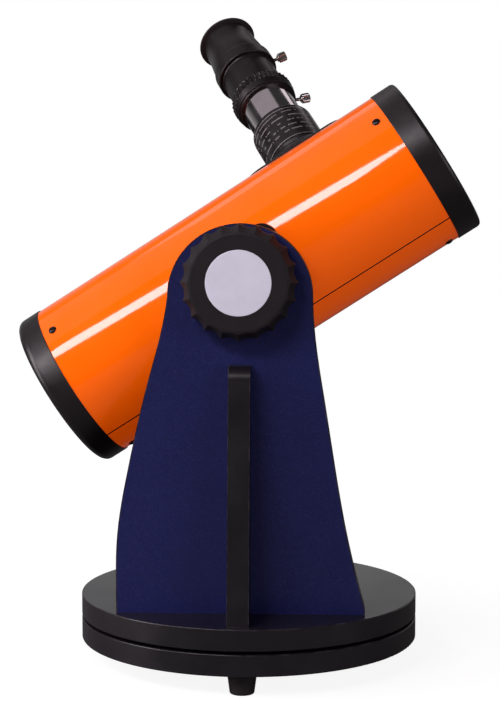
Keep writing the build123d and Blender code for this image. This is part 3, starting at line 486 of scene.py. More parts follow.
def shared_tree(builder):
    """The tree that a builder makes, made on its first use."""
    name = builder.__name__
    if name not in built_trees:
        built_trees[name] = builder()
    return built_trees[name]


built_trees = {}


# ======== effects that several finishes share ========


def grain_group():
    """Fine moulded texture: a height for bumps, and wide soft blotches."""
    inputs = [("Size", "NodeSocketFloat", 0.0004), ("Blotch Size", "NodeSocketFloat", 0.02)]
    outputs = [("Height", "NodeSocketFloat"), ("Blotches", "NodeSocketFloat")]
    tree, wires, start, end = new_tree("moulded grain", "ShaderNodeTree", inputs, outputs)
    place = wires.add("ShaderNodeTexCoord").outputs["Object"]
    fine = wires.noise(place, wires.math("DIVIDE", 1.0, start.outputs["Size"]), 2.0)
    wide = wires.noise(place, wires.math("DIVIDE", 1.0, start.outputs["Blotch Size"]), 4.0, 0.6)
    tree.links.new(fine, end.inputs["Height"])
    tree.links.new(wires.remap(wide, 0.3, 0.7), end.inputs["Blotches"])
    return tree


def speckle_group():
    """Flecks of a printed laminate: a mask of scattered cells, and a height."""
    inputs = [("Size", "NodeSocketFloat", 0.0006), ("Share", "NodeSocketFloat", 0.25)]
    outputs = [("Flecks", "NodeSocketFloat"), ("Height", "NodeSocketFloat")]
    tree, wires, start, end = new_tree("laminate flecks", "ShaderNodeTree", inputs, outputs)
    place = wires.add("ShaderNodeTexCoord").outputs["Object"]
    scale = wires.math("DIVIDE", 1.0, start.outputs["Size"])
    warp = wires.add("ShaderNodeTexNoise", {"Vector": place, "Scale": scale, "Detail": 1.0})
    bent = wires.vector("ADD", place, wires.scaled(warp.outputs["Color"], start.outputs["Size"]))
    cells = wires.add("ShaderNodeTexVoronoi", {"Vector": bent, "Scale": scale})
    chance = wires.add("ShaderNodeSeparateColor", {0: cells.outputs["Color"]}).outputs[0]
    limit = wires.math("SUBTRACT", 1.0, start.outputs["Share"])
    chosen = wires.math("GREATER_THAN", chance, limit)
    core = wires.remap(cells.outputs["Distance"], 0.55, 0.25)
    tree.links.new(wires.math("MULTIPLY", chosen, core), end.inputs["Flecks"])
    tree.links.new(wires.math("SUBTRACT", 1.0, cells.outputs["Distance"]), end.inputs["Height"])
    return tree


def wear_group():
    """Worn edges: a mask along sharp edges, broken up by noise."""
    inputs = [("Width", "NodeSocketFloat", 0.0006), ("Break Size", "NodeSocketFloat", 0.004)]
    outputs = [("Mask", "NodeSocketFloat")]
    tree, wires, start, end = new_tree("worn edges", "ShaderNodeTree", inputs, outputs)
    soft = wires.add("ShaderNodeBevel", {"Radius": start.outputs["Width"]}, samples=6)
    true = wires.add("ShaderNodeNewGeometry").outputs["Normal"]
    bend = wires.math("SUBTRACT", 1.0, wires.vector("DOT_PRODUCT", soft.outputs[0], true))
    edge = wires.remap(bend, 0.01, 0.12)
    place = wires.add("ShaderNodeTexCoord").outputs["Object"]
    patches = wires.noise(place, wires.math("DIVIDE", 1.0, start.outputs["Break Size"]), 4.0, 0.65)
    broken = wires.remap(patches, 0.42, 0.62)
    tree.links.new(wires.math("MULTIPLY", edge, broken), end.inputs["Mask"])
    return tree


def dust_group():
    """Dust that settles on upward faces, in soft patches with a few bright specks."""
    inputs = [("Speck Size", "NodeSocketFloat", 0.0008), ("Patch Size", "NodeSocketFloat", 0.03)]
    outputs = [("Mask", "NodeSocketFloat")]
    tree, wires, start, end = new_tree("settled dust", "ShaderNodeTree", inputs, outputs)
    place = wires.add("ShaderNodeTexCoord").outputs["Object"]
    patches = wires.noise(place, wires.math("DIVIDE", 1.0, start.outputs["Patch Size"]), 5.0, 0.6)
    specks = wires.noise(place, wires.math("DIVIDE", 1.0, start.outputs["Speck Size"]), 1.0)
    normal = wires.add("ShaderNodeNewGeometry").outputs["Normal"]
    up = wires.add("ShaderNodeSeparateXYZ", {0: normal}).outputs["Z"]
    flat = wires.remap(up, -0.2, 0.9)
    film = wires.math("MULTIPLY", wires.remap(patches, 0.35, 0.75), 0.5)
    points = wires.remap(specks, 0.68, 0.76)
    tree.links.new(wires.math("MULTIPLY", flat, wires.math("ADD", film, points)), end.inputs["Mask"])
    return tree


# ======== finishes ========


class Finish:
    """A new material round one Principled shader. Constants sit on the shader's own sockets."""

    def __init__(self, name, colour, roughness, **constants):
        self.material = bpy.data.materials.new(name)
        self.material.use_nodes = True
        self.material.diffuse_color = (*colour[:3], 1.0)
        tree = self.material.node_tree
        self.wires = Wires(tree)
        self.shader = tree.nodes["Principled BSDF"]
        self.colour = (*colour[:3], 1.0)
        self.roughness = roughness
        self.shader.inputs["Base Color"].default_value = self.colour
        self.shader.inputs["Roughness"].default_value = roughness
        for key, value in constants.items():
            self.shader.inputs[key.replace("_", " ")].default_value = value

    def effect(self, builder, **values):
        """Place a shared effect group with its own values, and return its outputs."""
        inputs = {key.replace("_", " "): value for key, value in values.items()}
        group = self.wires.add("ShaderNodeGroup", node_tree=shared_tree(builder))
        for key, value in inputs.items():
            group.inputs[key].default_value = value
        return group.outputs

    def grained(self, size, blotch_size, tones=None, polish=None, relief=None):
        """Lay on fine grain: a range of roughness, a bump's strength and depth, and two tones mixed."""
        grain = self.effect(grain_group, Size=size, Blotch_Size=blotch_size)
        if polish:
            self.feed("Roughness", self.wires.remap(grain["Blotches"], 0.0, 1.0, *polish))
        if relief:
            self.bump(grain["Height"], *relief)
        return self.wires.mix(grain["Blotches"], *tones) if tones else None

    def dusted(self, tone, share, dust_colour, speck_size, patch_size):
        """Settle dust on a tone, as the base colour."""
        dust = self.effect(dust_group, Speck_Size=speck_size, Patch_Size=patch_size)
        amount = self.wires.math("MULTIPLY", dust["Mask"], share)
        self.feed("Base Color", self.wires.mix(amount, tone, dust_colour))

    def feed(self, socket, value):
        self.wires.tree.links.new(value, self.shader.inputs[socket])

    def bump(self, height, strength, distance):
        """Feed a height to the shader's normal."""
        inputs = {"Height": height, "Strength": strength, "Distance": distance}
        self.feed("Normal", self.wires.add("ShaderNodeBump", inputs).outputs["Normal"])


finishes = {}


def finish(builder):
    """The material that a builder makes, made on its first use."""
    name = builder.__name__
    if name not in finishes:
        finishes[name] = builder(bpy.context.scene.telescope_colours).material
    return finishes[name]


def lighter(colour, factor, lift=0.0):
    """A colour made lighter or darker, as linear RGBA."""
    return tuple(min(1.0, c * factor + lift) for c in colour[:3]) + (1.0,)


def orange_enamel_with_painted_glow(colours):
    """Bright gloss enamel over rolled sheet, with fine orange peel and dust, and a faint painted glow that stands
    in for light on its shaded side.
    """
    # painted light: the orange emission makes the enamel glow faintly, so that its shaded side stays vivid
    paint = Finish(
        "orange enamel", colours.paint, 0.45, Specular_IOR_Level=0.0, Coat_Weight=1.0,
        Coat_Roughness=0.07, Coat_IOR=1.5, Emission_Color=(1.0, 0.10, 0.0, 1.0),
        Emission_Strength=0.35,
    )
    tones = lighter(colours.paint, 0.96), lighter(colours.paint, 1.03)
    shade = paint.grained(0.0016, 0.05, tones, (0.4, 0.5), (0.05, 0.0002))
    paint.dusted(shade, 0.035, (0.95, 0.75, 0.6, 1.0), 0.0007, 0.025)
    return paint


def tube_lining(colours):
    """Flat black paint inside the tube."""
    lining = Finish("flat black lining", (0.008, 0.008, 0.009), 0.85, Specular_IOR_Level=0.25)
    tones = (0.006, 0.006, 0.007, 1), (0.012, 0.012, 0.013, 1)
    lining.feed("Base Color", lining.grained(0.0005, 0.03, tones, relief=(0.35, 0.0003)))
    return lining


def moulded(name, colour, roughness, size, wear=0.25, gloss=0.5):
    """Black moulded plastic with a fine grain, soft sheen changes, light wear and dust."""
    plastic = Finish(name, colour, roughness, Specular_IOR_Level=gloss)
    wires = plastic.wires
    worn = plastic.effect(wear_group, Width=0.0005, Break_Size=0.005)
    tones = lighter(colour, 0.85), lighter(colour, 1.2)
    polish = max(0.05, roughness - 0.06), roughness + 0.06
    tone = plastic.grained(size, 0.018, tones, polish, (0.1, 0.00015))
    edged = wires.mix(wires.math("MULTIPLY", worn["Mask"], wear), tone, lighter(colour, 1.5, 0.09))
    plastic.dusted(edged, 0.05, (0.5, 0.48, 0.5, 1.0), 0.0006, 0.02)
    return plastic


def satin_plastic(colours):
    """Satin black of the tube's two end pieces."""
    return moulded("satin black plastic", colours.plastic, 0.38, 0.0006)


def gloss_plastic(colours):
    """Glossier black of the focuser's body."""
    return moulded("gloss black plastic", colours.plastic, 0.22, 0.0009, wear=0.12)


def knob_plastic(colours):
    """Matte black of the knob."""
    return moulded("matte black knob", colours.knob, 0.6, 0.0005, wear=0.15, gloss=0.25)


def black_anodised(colours):
    """Black anodised aluminium with faint turning lines round it."""
    metal = Finish("black anodised", (0.020, 0.015, 0.016), 0.34, Metallic=0.35)
    wires = metal.wires
    wrap = wires.add("ShaderNodeUVMap", uv_map="wrap").outputs[0]
    stretched = wires.add("ShaderNodeMapping", {"Vector": wrap, "Scale": (0.03, 6.0, 1.0)})
    lines = wires.noise(stretched.outputs[0], 1.0, 4.0, 0.6)
    grain = metal.effect(grain_group, Size=0.0008, Blotch_Size=0.012)
    dust = metal.effect(dust_group, Speck_Size=0.0006, Patch_Size=0.02)
    tone = wires.mix(grain["Blotches"], (0.008, 0.006, 0.007, 1), (0.015, 0.011, 0.012, 1))
    dusty = wires.mix(wires.math("MULTIPLY", dust["Mask"], 0.05), tone, (0.5, 0.45, 0.45, 1.0))
    metal.feed("Base Color", dusty)
    metal.feed("Roughness", wires.remap(lines, 0.3, 0.7, 0.28, 0.42))
    metal.bump(lines, 0.08, 0.0001)
    return metal


def soft_rubber(colours):
    """Matte rubber of the feet and the eyecup."""
    return moulded("matte rubber", (0.018, 0.015, 0.016), 0.62, 0.0004, wear=0.15, gloss=0.35)


def arm_laminate(colours):
    """Navy laminate printed with fine lighter and darker flecks."""
    board = Finish("navy laminate", colours.arm, 0.36, Specular_IOR_Level=0.42)
    wires = board.wires
    pale = board.effect(speckle_group, Size=0.0009, Share=0.3)
    dark = board.effect(speckle_group, Size=0.0013, Share=0.35)
    grain = board.effect(grain_group, Size=0.0011, Blotch_Size=0.04)
    tone = wires.mix(grain["Blotches"], lighter(colours.arm, 0.92), lighter(colours.arm, 1.08))
    deep = wires.mix(wires.math("MULTIPLY", dark["Flecks"], 0.45), tone, lighter(colours.arm, 0.45))
    flecked = wires.mix(
        wires.math("MULTIPLY", pale["Flecks"], 0.5), deep, lighter(colours.arm, 1.7, 0.012)
    )
    board.feed("Base Color", flecked)
    board.feed("Roughness", wires.remap(grain["Height"], 0.3, 0.7, 0.31, 0.43))
    board.bump(pale["Height"], 0.10, 0.0002)
    return board


def black_laminate(colours):
    """Semi-gloss black laminate of the round boards, with a faint pebble texture."""
    board = Finish(
        "black laminate", colours.board, 0.2, Specular_IOR_Level=0.5, Specular_Tint=(0.92, 0.8, 1.0, 1.0)
    )
    wires = board.wires
    flecks = board.effect(speckle_group, Size=0.0011, Share=0.3)
    grain = board.effect(grain_group, Size=0.0014, Blotch_Size=0.05)
    dust = board.effect(dust_group, Speck_Size=0.0008, Patch_Size=0.05)
    tone = wires.mix(
        wires.math("MULTIPLY", flecks["Flecks"], 0.35), colours_rgba(colours.board),
        lighter(colours.board, 1.8, 0.006),
    )
    dusty = wires.mix(wires.math("MULTIPLY", dust["Mask"], 0.03), tone, (0.5, 0.48, 0.5, 1.0))
    board.feed("Base Color", dusty)
    board.feed("Roughness", wires.remap(grain["Blotches"], 0.0, 1.0, 0.17, 0.25))
    board.bump(flecks["Height"], 0.06, 0.0002)
    return board


def colours_rgba(colour):
    """A property's colour with an opaque alpha."""
    return (*colour[:3], 1.0)


def black_edging(colours):
    """Plastic edging of the boards, rubbed pale along its sharp edges."""
    band = Finish("black edging", colours.board, 0.34, Specular_IOR_Level=0.5)
    worn = band.effect(wear_group, Width=0.0007, Break_Size=0.009)
    tones = lighter(colours.board, 0.9), lighter(colours.board, 1.25)
    tone = band.grained(0.0012, 0.03, tones, (0.29, 0.4), (0.08, 0.0002))
    rubbed = band.wires.math("MULTIPLY", worn["Mask"], 0.55)
    band.feed("Base Color", band.wires.mix(rubbed, tone, (0.17, 0.15, 0.17, 1.0)))
    return band


def cover_plastic(colours):
    """Pale grey disc in the knob, with a few hairline scuffs."""
    disc = Finish("pale grey cover", colours.cover, 0.42, Specular_IOR_Level=0.5)
    wires = disc.wires
    grain = disc.effect(grain_group, Size=0.0005, Blotch_Size=0.012)
    place = wires.add("ShaderNodeTexCoord").outputs["Object"]
    streaks = wires.add(
        "ShaderNodeMapping",
        {"Vector": place, "Scale": (180.0, 1.0, 3500.0), "Rotation": (0.0, 0.6, 0.0)},
    )
    scuffs = wires.remap(wires.noise(streaks.outputs[0], 1.0, 2.0), 0.66, 0.72)
    tone = wires.mix(grain["Blotches"], lighter(colours.cover, 0.95), lighter(colours.cover, 1.03))
    marked = wires.mix(wires.math("MULTIPLY", scuffs, 0.1), tone, (0.30, 0.30, 0.36, 1.0))
    disc.feed("Base Color", marked)
    disc.feed("Roughness", wires.remap(grain["Blotches"], 0.0, 1.0, 0.36, 0.48))
    disc.bump(grain["Height"], 0.06, 0.0001)
    return disc


def metal(name, colour, roughness, spread=0.06, line_strength=0.04):
    """Bare or plated metal with faint marks and changing polish."""
    bright = Finish(name, colour, roughness, Metallic=1.0)
    tones = lighter(colour, 0.92), lighter(colour, 1.05)
    polish = max(0.02, roughness - spread), roughness + spread
    bright.feed("Base Color", bright.grained(0.0009, 0.01, tones, polish, (line_strength, 0.0001)))
    return bright


def chrome_plate(colours):
    """Chrome of the focuser tube and the two barrels."""
    return metal("chrome plate", colours.chrome, 0.13, 0.03)


def knurled_steel(colours):
    """Plated steel of the thumbscrews."""
    return metal("knurled steel", colours.steel, 0.24)


def zinc_steel(colours):
    """Zinc-plated bolts and washers."""
    return metal("zinc plate", lighter(colours.steel, 0.95)[:3], 0.36, 0.1, 0.15)


def machined_brass(colours):
    """Brass insert that the stud screws into."""
    return metal("machined brass", (0.62, 0.44, 0.16), 0.3)


def black_oxide(colours):
    """Black screws with a soft shine."""
    dark = Finish("black oxide", (0.022, 0.018, 0.02), 0.3, Metallic=0.5)
    dark.grained(0.0004, 0.002, polish=(0.24, 0.4), relief=(0.1, 0.0001))
    return dark


def slip_plastic(colours):
    """Waxy white plastic of the washers, the bush and the glide pads."""
    white = Finish("slippery white plastic", (0.78, 0.77, 0.72), 0.45, Subsurface_Weight=0.1)
    tones = (0.70, 0.69, 0.63, 1), (0.82, 0.81, 0.76, 1)
    white.feed("Base Color", white.grained(0.0006, 0.006, tones, relief=(0.1, 0.0001)))
    return white


def silvered_glass(colours):
    """Front-silvered mirror with the faintest haze."""
    mirror = Finish("silvered glass", (0.88, 0.89, 0.9), 0.02, Metallic=1.0)
    mirror.grained(0.002, 0.02, polish=(0.01, 0.04))
    return mirror


def coated_glass(colours):
    """Lens glass with a faint coloured coating."""
    glass = Finish(
        "coated glass", (0.86, 0.92, 0.98), 0.03, Transmission_Weight=1.0, IOR=1.52, Coat_Weight=0.6
    )
    glass.grained(0.001, 0.008, polish=(0.01, 0.05))
    return glass


def felt(colours):
    """Black felt of the friction liner and the mirror pads."""
    cloth = Finish("black felt", (0.02, 0.02, 0.022), 0.95, Sheen_Weight=0.4)
    grain = cloth.effect(grain_group, Size=0.0003, Blotch_Size=0.004)
    tone = cloth.wires.mix(grain["Height"], (0.01, 0.01, 0.011, 1), (0.04, 0.04, 0.043, 1))
    cloth.feed("Base Color", tone)
    cloth.bump(grain["Height"], 0.8, 0.0005)
    return cloth


# ======== operators ========


def separate_solids(node):
    """The points of each separate solid in a CAD node, as one list for each solid."""
    bm = bmesh.new()
    bm.from_mesh(frame["nodes"][node].data)
    bmesh.ops.remove_doubles(bm, verts=bm.verts, dist=0.00001)
    solids = []
    seen = set()
    for start in bm.verts:
        if start in seen:
            continue
        waiting, solid = [start], []
        seen.add(start)
        while waiting:
            vert = waiting.pop()
            solid.append(vert.co.copy())
            fresh = [e.other_vert(vert) for e in vert.link_edges if e.other_vert(vert) not in seen]
            seen.update(fresh)
            waiting.extend(fresh)
        solids.append(solid)
    bm.free()
    return solids


def screw_head(name, radius, height, shank_radius, shank_length):
    """A domed screw with a cross recess and a plain shank, standing up along Z from its seat."""
    rings = 14
    segments = 48
    recess_reach = 0.62 * radius
    recess_depth = 0.55 * height
    seat = -0.1 * MM
    slot_half = 0.13 * radius
    bm = bmesh.new()
    profile = [(radius * math.sin(a), height * math.cos(a)) for a in
               [math.pi / 2 * i / rings for i in range(1, rings + 1)]]
    tip = bm.verts.new((0, 0, height - recess_depth))
    columns = []
    for i in range(segments):
        angle = 2 * math.pi * i / segments
        column = []
        for ring_radius, ring_height in profile:
            x = ring_radius * math.cos(angle)
            y = ring_radius * math.sin(angle)
            inside = min(abs(x), abs(y)) < slot_half and ring_radius < recess_reach
            drop = recess_depth * (1.0 - 0.5 * ring_radius / recess_reach) if inside else 0.0
            column.append(bm.verts.new((x, y, ring_height - drop)))
        shank = [(radius, seat), (shank_radius, seat), (shank_radius, -shank_length)]
        for ring_radius, ring_height in shank:
            x = ring_radius * math.cos(angle)
            y = ring_radius * math.sin(angle)
            column.append(bm.verts.new((x, y, ring_height)))
        columns.append(column)
    end = bm.verts.new((0, 0, -shank_length))
    for i in range(segments):
        here, there = columns[i], columns[(i + 1) % segments]
        bm.faces.new((tip, here[0], there[0]))
        for j in range(len(here) - 1):
            bm.faces.new((here[j], here[j + 1], there[j + 1], there[j]))
        bm.faces.new((end, there[-1], here[-1]))
    bmesh.ops.remove_doubles(bm, verts=bm.verts, dist=0.000001)
    bmesh.ops.recalc_face_normals(bm, faces=bm.faces)
    mesh = bpy.data.meshes.new(name)
    bm.to_mesh(mesh)
    bm.free()
    shaded(mesh, 40.0)
    return linked_object(name, mesh)


def stand_screws(name, node, spin, material, sizes):
    """Domed screws where a CAD node's screws stand, each facing away from the spin's axis."""
    heads = []
    for solid in separate_solids(node):
        polar = [spin.polar(place) for place in solid]
        outer = max(p[1] for p in polar)
        inner = min(p[1] for p in polar)
        middle = sum(solid, Vector()) / len(solid)
        level, _, angle = spin.polar(middle)
        heads.append((spin.point(level, outer - sizes.screw_height, angle), spin.direction(angle)))
        shank = outer - sizes.screw_height - inner
    shank_radius = 1.4 * MM
    points = bpy.data.meshes.new("screw places")
    points.from_pydata([place for place, _ in heads], [], [])
    facing = points.attributes.new("facing", "FLOAT_VECTOR", "POINT")
    facing.data.foreach_set("vector", [c for _, out in heads for c in out])
    pattern = screw_head("screw pattern", sizes.screw_radius, sizes.screw_height, shank_radius, shank)
    values = {"Screw": pattern, "Seed": 3, "Finish": material}
    piece = bake_tree(linked_object("screw places", points), shared_tree(screw_tree), values, name)
    bpy.data.objects.remove(pattern)
    return piece


class TELESCOPE_OT_boards(bpy.types.Operator):
    """Finish the two round boards, the side arm, its rib and their edging"""

    bl_idname = "telescope.boards"
    bl_label = "Boards and arm"

    def execute(self, context):
        dress(finish(black_laminate), "base_board", "turntable_board", "arm_rib")
        dress(finish(black_edging), "base_edge_band", "turntable_edge_band", "rib_edge_band")
        dress(finish(black_edging), "arm_edge_band")
        dress(finish(arm_laminate), "side_arm")
        return {"FINISHED"}


class TELESCOPE_OT_hardware(bpy.types.Operator):
    """Finish the feet, the azimuth bolt, the pivot and the other fixed hardware"""

    bl_idname = "telescope.hardware"
    bl_label = "Feet and hardware"

    def execute(self, context):
        dress(finish(soft_rubber), "foot_near", "foot_front", "foot_rear")
        dress(finish(zinc_steel), "foot_screws", "azimuth_bolt", "azimuth_washer", "azimuth_nut")
        dress(finish(zinc_steel), "arm_screws", "altitude_stud", "bracket_screws")
        dress(finish(slip_plastic), "glide_pads", "altitude_bush", "outer_washer", "inner_washer")
        dress(finish(satin_plastic), "altitude_bracket")
        dress(finish(machined_brass), "stud_insert")
        return {"FINISHED"}


class TELESCOPE_OT_shell(bpy.types.Operator):
    """Build the painted tube with its seam and the hole under the focuser"""

    bl_idname = "telescope.shell"
    bl_label = "Painted tube"

    def execute(self, context):
        sizes = context.scene.telescope_sizes
        span = tube.span("tube_shell")
        half = sizes.seam_width / 2 / span.outer
        slope = 0.15 * MM / span.outer
        cuts = [-half - slope, -half, half, half + slope]
        steps = 240
        even = [2 * math.pi * i / steps for i in range(steps)]
        clear = [a for a in even if abs(a - sizes.seam_turn) > half + 2 * slope]
        angles = sorted(clear + [sizes.seam_turn + c for c in cuts])
        angles.append(angles[0] + 2 * math.pi)
        rings = 26
        levels = [span.low + (span.high - span.low) * i / rings for i in range(rings + 1)]

        def outline(angle):
            in_seam = abs((angle % (2 * math.pi)) - sizes.seam_turn) < half + slope / 2
            outer = span.outer - (sizes.seam_depth if in_seam else 0.0)
            return [(x, outer, 0.0) for x in levels] + [(x, span.inner, 0.0) for x in reversed(levels)]

        shell = turned("painted_shell", tube, outline, angles=angles, sharp_angle=25.0)
        bore = focuser.span("focuser_housing").inner
        cutter = turned(
            "bore cutter", focuser,
            [(0.0, 0.0, 0.0), (0.0, bore, 0.0), (2 * span.outer, bore, 0.0), (2 * span.outer, 0.0, 0.0)],
            segments=72, closed=False,
        )
        cut = shell.modifiers.new("focuser hole", "BOOLEAN")
        cut.operation = "DIFFERENCE"
        cut.solver = "EXACT"
        cut.object = cutter
        depsgraph = context.evaluated_depsgraph_get()
        mesh = bpy.data.meshes.new_from_object(
            shell.evaluated_get(depsgraph), preserve_all_data_layers=True, depsgraph=depsgraph
        )
        shell.modifiers.clear()
        shell.data = mesh
        bpy.data.objects.remove(cutter)
        shaded(mesh, 25.0)
        settle(
            shell, "tube", ["tube_shell"], "orange_paint", finish(orange_enamel_with_painted_glow), finish(tube_lining)
        )
        painted_from = span.outer - sizes.seam_depth / 2
        for polygon in mesh.polygons:
            inside = tube.polar(polygon.center)[1] < painted_from
            polygon.material_index = 1 if inside else 0
        return {"FINISHED"}


class TELESCOPE_OT_end_caps(bpy.types.Operator):
    """Build the moulded ring at the tube's front and the cap at its rear"""

    bl_idname = "telescope.end_caps"
    bl_label = "Front ring and rear cap"

    def execute(self, context):
        shell = tube.span("tube_shell")
        ring = tube.span("front_ring")
        cap = tube.span("rear_cap")
        plug = shell.inner - 0.02 * MM
        wall = 2.5 * MM
        outline = [
            (ring.low, plug, 0.4 * MM),
            (shell.high, plug),
            (shell.high, ring.outer, 0.35 * MM),
            (ring.high, ring.outer, 2.4 * MM),
            (ring.high, ring.inner, 0.9 * MM),
            (ring.high - wall, ring.inner, 0.6 * MM),
            (ring.high - wall, plug - wall, 0.4 * MM),
            (ring.low, plug - wall, 0.4 * MM),
        ]
        front = turned("front_trim_ring", tube, rounded(outline), segments=200)
        settle(front, "tube", ["front_ring"], "black_plastic", finish(satin_plastic))
        floor = cap.low + 3.0 * MM
        dish_depth = 0.8 * MM
        dish_inset = 14.0 * MM
        outline = [
            (cap.low + dish_depth, 0.0),
            (cap.low + dish_depth, cap.outer - dish_inset, 0.4 * MM),
            (cap.low, cap.outer - dish_inset - dish_depth, 0.4 * MM),
            (cap.low, cap.outer, 4.4 * MM),
            (shell.low, cap.outer, 0.35 * MM),
            (shell.low, plug),
            (cap.high, plug, 0.4 * MM),
            (cap.high, plug - wall, 0.4 * MM),
            (floor, plug - wall, 1.0 * MM),
            (floor, 0.0),
        ]
        rear = turned("rear_trim_cap", tube, rounded(outline, closed=False), segments=200, closed=False)
        settle(rear, "tube", ["rear_cap"], "black_plastic", finish(satin_plastic))
        return {"FINISHED"}


class TELESCOPE_OT_optics(bpy.types.Operator):
    """Finish the mirrors, their cell and clips, and the spider"""

    bl_idname = "telescope.optics"
    bl_label = "Mirrors and spider"

    def execute(self, context):
        dress(finish(silvered_glass), "main_mirror", "secondary_mirror")
        dress(finish(satin_plastic), "mirror_cell", "mirror_clips", "secondary_holder", "spider")
        dress(finish(black_oxide), "clip_screws")
        dress(finish(zinc_steel), "secondary_bolt", "collimation_screws")
        dress(finish(felt), "mirror_pads")
        return {"FINISHED"}


class TELESCOPE_OT_screws(bpy.types.Operator):
    """Build the domed screws on the tube and the focuser's saddle"""

    bl_idname = "telescope.screws"
    bl_label = "Domed screws"

    def execute(self, context):
        sizes = context.scene.telescope_sizes
        dark = finish(black_oxide)
        caps = stand_screws("end_cap_screws", "tube_screws", tube, dark, sizes)
        settle(caps, "tube", ["tube_screws"], "black_screws")
        saddle = stand_screws("saddle_screw_set", "saddle_screws", tube, dark, sizes)
        settle(saddle, "tube", ["saddle_screws"], "black_screws")
        return {"FINISHED"}


class TELESCOPE_OT_knob(bpy.types.Operator):
    """Build the scalloped altitude knob and the pale disc in its face"""

    bl_idname = "telescope.knob"
    bl_label = "Altitude knob"

    def execute(self, context):
        sizes = context.scene.telescope_sizes
        span = knob_axis.span("altitude_knob")
        disc = knob_axis.span("knob_disc")
        stud = knob_axis.span("altitude_stud")
        shoulder = span.low + sizes.knob_rim_height
        face = span.outer - sizes.knob_slope
        well = disc.outer + 0.05 * MM
        outline = [
            (span.low, stud.outer + 0.02 * MM),
            (span.low, span.outer - 3.0 * MM, 0.0, 0.0),
            (span.low, span.outer, 0.8 * MM, 1.0),
            (shoulder, span.outer, 1.6 * MM, 1.0),
            (span.high - 0.4 * MM, face + 0.6 * MM, 0.7 * MM, 0.35),
            (span.high, face - 1.4 * MM, 0.4 * MM, 0.0),
            (span.high, well, 0.2 * MM),
            (disc.low, well),
            (disc.low, 0.5 * well),
            (disc.low, 0.0),
            (stud.high, 0.0),
            (stud.high, stud.outer + 0.02 * MM),
        ]
        blank = turned(
            "knob blank", knob_axis, rounded(outline), segments=16 * sizes.knob_lobes, sharp_angle=24.0
        )
        values = {
            "Centre": tuple(knob_axis.origin), "Along": tuple(knob_axis.along),
            "Across": tuple(knob_axis.across), "Count": sizes.knob_lobes,
            "Depth": sizes.knob_scallop, "Hollow": 2.0, "Finish": finish(knob_plastic),
        }
        knob = bake_tree(blank, shared_tree(scallop_tree), values, "scalloped_knob")
        shaded(knob.data, 30.0)
        settle(knob, "knob", ["altitude_knob"], "black_plastic")
        outline = [
            (disc.low, 0.0),
            (disc.low, disc.outer),
            (disc.high, disc.outer, 0.3 * MM),
            (disc.high, 0.0),
        ]
        cover = turned("knob_cover", knob_axis, rounded(outline, closed=False), closed=False)
        settle(cover, "knob", ["knob_disc"], "grey_disc", finish(cover_plastic))
        return {"FINISHED"}


def saddle_reach(angle, sizes):
    """How far the saddle's edge is from the focuser's axis at this angle."""
    half_length = sizes.saddle_length / 2
    half_width = sizes.saddle_width / 2
    corner = sizes.saddle_corner
    along, over = abs(math.cos(angle)), abs(math.sin(angle))
    straight_end = half_length / along if along > 1e-6 else math.inf
    straight_side = half_width / over if over > 1e-6 else math.inf
    reach = min(straight_end, straight_side)
    centre_along, centre_over = half_length - corner, half_width - corner
    if reach * along > centre_along and reach * over > centre_over:
        middle = centre_along * along + centre_over * over
        gap = centre_along**2 + centre_over**2 - corner**2
        reach = middle + math.sqrt(max(middle**2 - gap, 0.0))
    return reach


class TELESCOPE_OT_focuser(bpy.types.Operator):
    """Build the focuser's body, whose flared foot sits on the tube, and its blank label"""

    bl_idname = "telescope.focuser"
    bl_label = "Focuser body and label"

    def execute(self, context):
        sizes = context.scene.telescope_sizes
        tube_radius = tube.span("tube_shell").outer
        liner = focuser.span("friction_liner")
        housing = focuser.span("focuser_housing")
        label = focuser.span("data_label")
        wall = label.inner
        foot = tube_radius + 0.03 * MM
        top = tube_radius + sizes.saddle_thickness
        spread = wall + sizes.flare_spread

        def on_tube(radius, angle, height):
            return math.sqrt(height**2 - (radius * math.sin(angle)) ** 2)

        def outline(angle):
            reach = saddle_reach(angle, sizes)
            points = [
                (on_tube(housing.inner, angle, foot), housing.inner),
                (liner.low, housing.inner),
                (liner.low, liner.outer + 0.02 * MM),
                (liner.high, liner.outer + 0.02 * MM),
                (liner.high, housing.inner),
                (housing.high, housing.inner, 0.5 * MM),
                (housing.high, wall, 1.0 * MM),
            ]
            bends = 10
            for i in range(bends + 1):
                bend = math.pi / 2 * i / bends
                radius = spread - sizes.flare_spread * (1.0 - i / bends)
                lift = sizes.flare_height * 0.5 * (2.0 - i / bends - math.sin(bend))
                points.append((on_tube(radius, angle, top) + lift, radius))
            edge = max(reach, spread + 0.3 * MM)
            points.append((on_tube(edge, angle, top), edge, 0.7 * MM))
            points.append((on_tube(edge, angle, foot), edge))
            for i in range(1, 6):
                radius = edge + (housing.inner - edge) * i / 6
                points.append((on_tube(radius, angle, foot), radius))
            return rounded(points)

        body = turned("focuser_body", focuser, outline, segments=216, sharp_angle=30.0)
        settle(body, "tube", ["focuser_housing"], "black_plastic", finish(gloss_plastic))
        dress(finish(felt), "friction_liner")
        self.build_label(label)
        return {"FINISHED"}

    def build_label(self, label):
        """A thin film round half the body, with a silver border and plain grey bars."""
        angles = []
        for v in frame["nodes"]["data_label"].data.vertices:
            angles.append(focuser.polar(v.co)[2])
        ordered = sorted(a % (2 * math.pi) for a in angles)
        gaps = [(b - a, a, b) for a, b in zip(ordered, ordered[1:] + [ordered[0] + 2 * math.pi])]
        _, gap_start, gap_end = max(gaps)
        start, stop = gap_end, gap_start + 2 * math.pi
        outline = [
            (label.low, label.inner, 0.0), (label.low, label.outer, 0.0),
            (label.high, label.outer, 0.0), (label.high, label.inner, 0.0),
        ]
        film = turned("plain_label", focuser, outline, segments=96, sweep=(start, stop))
        width = (start * label.outer / MM, stop * label.outer / MM)
        height = (label.low / MM, label.high / MM)
        material = label_film("plain label", width, height)
        settle(film, "tube", ["data_label"], "label_film", material)


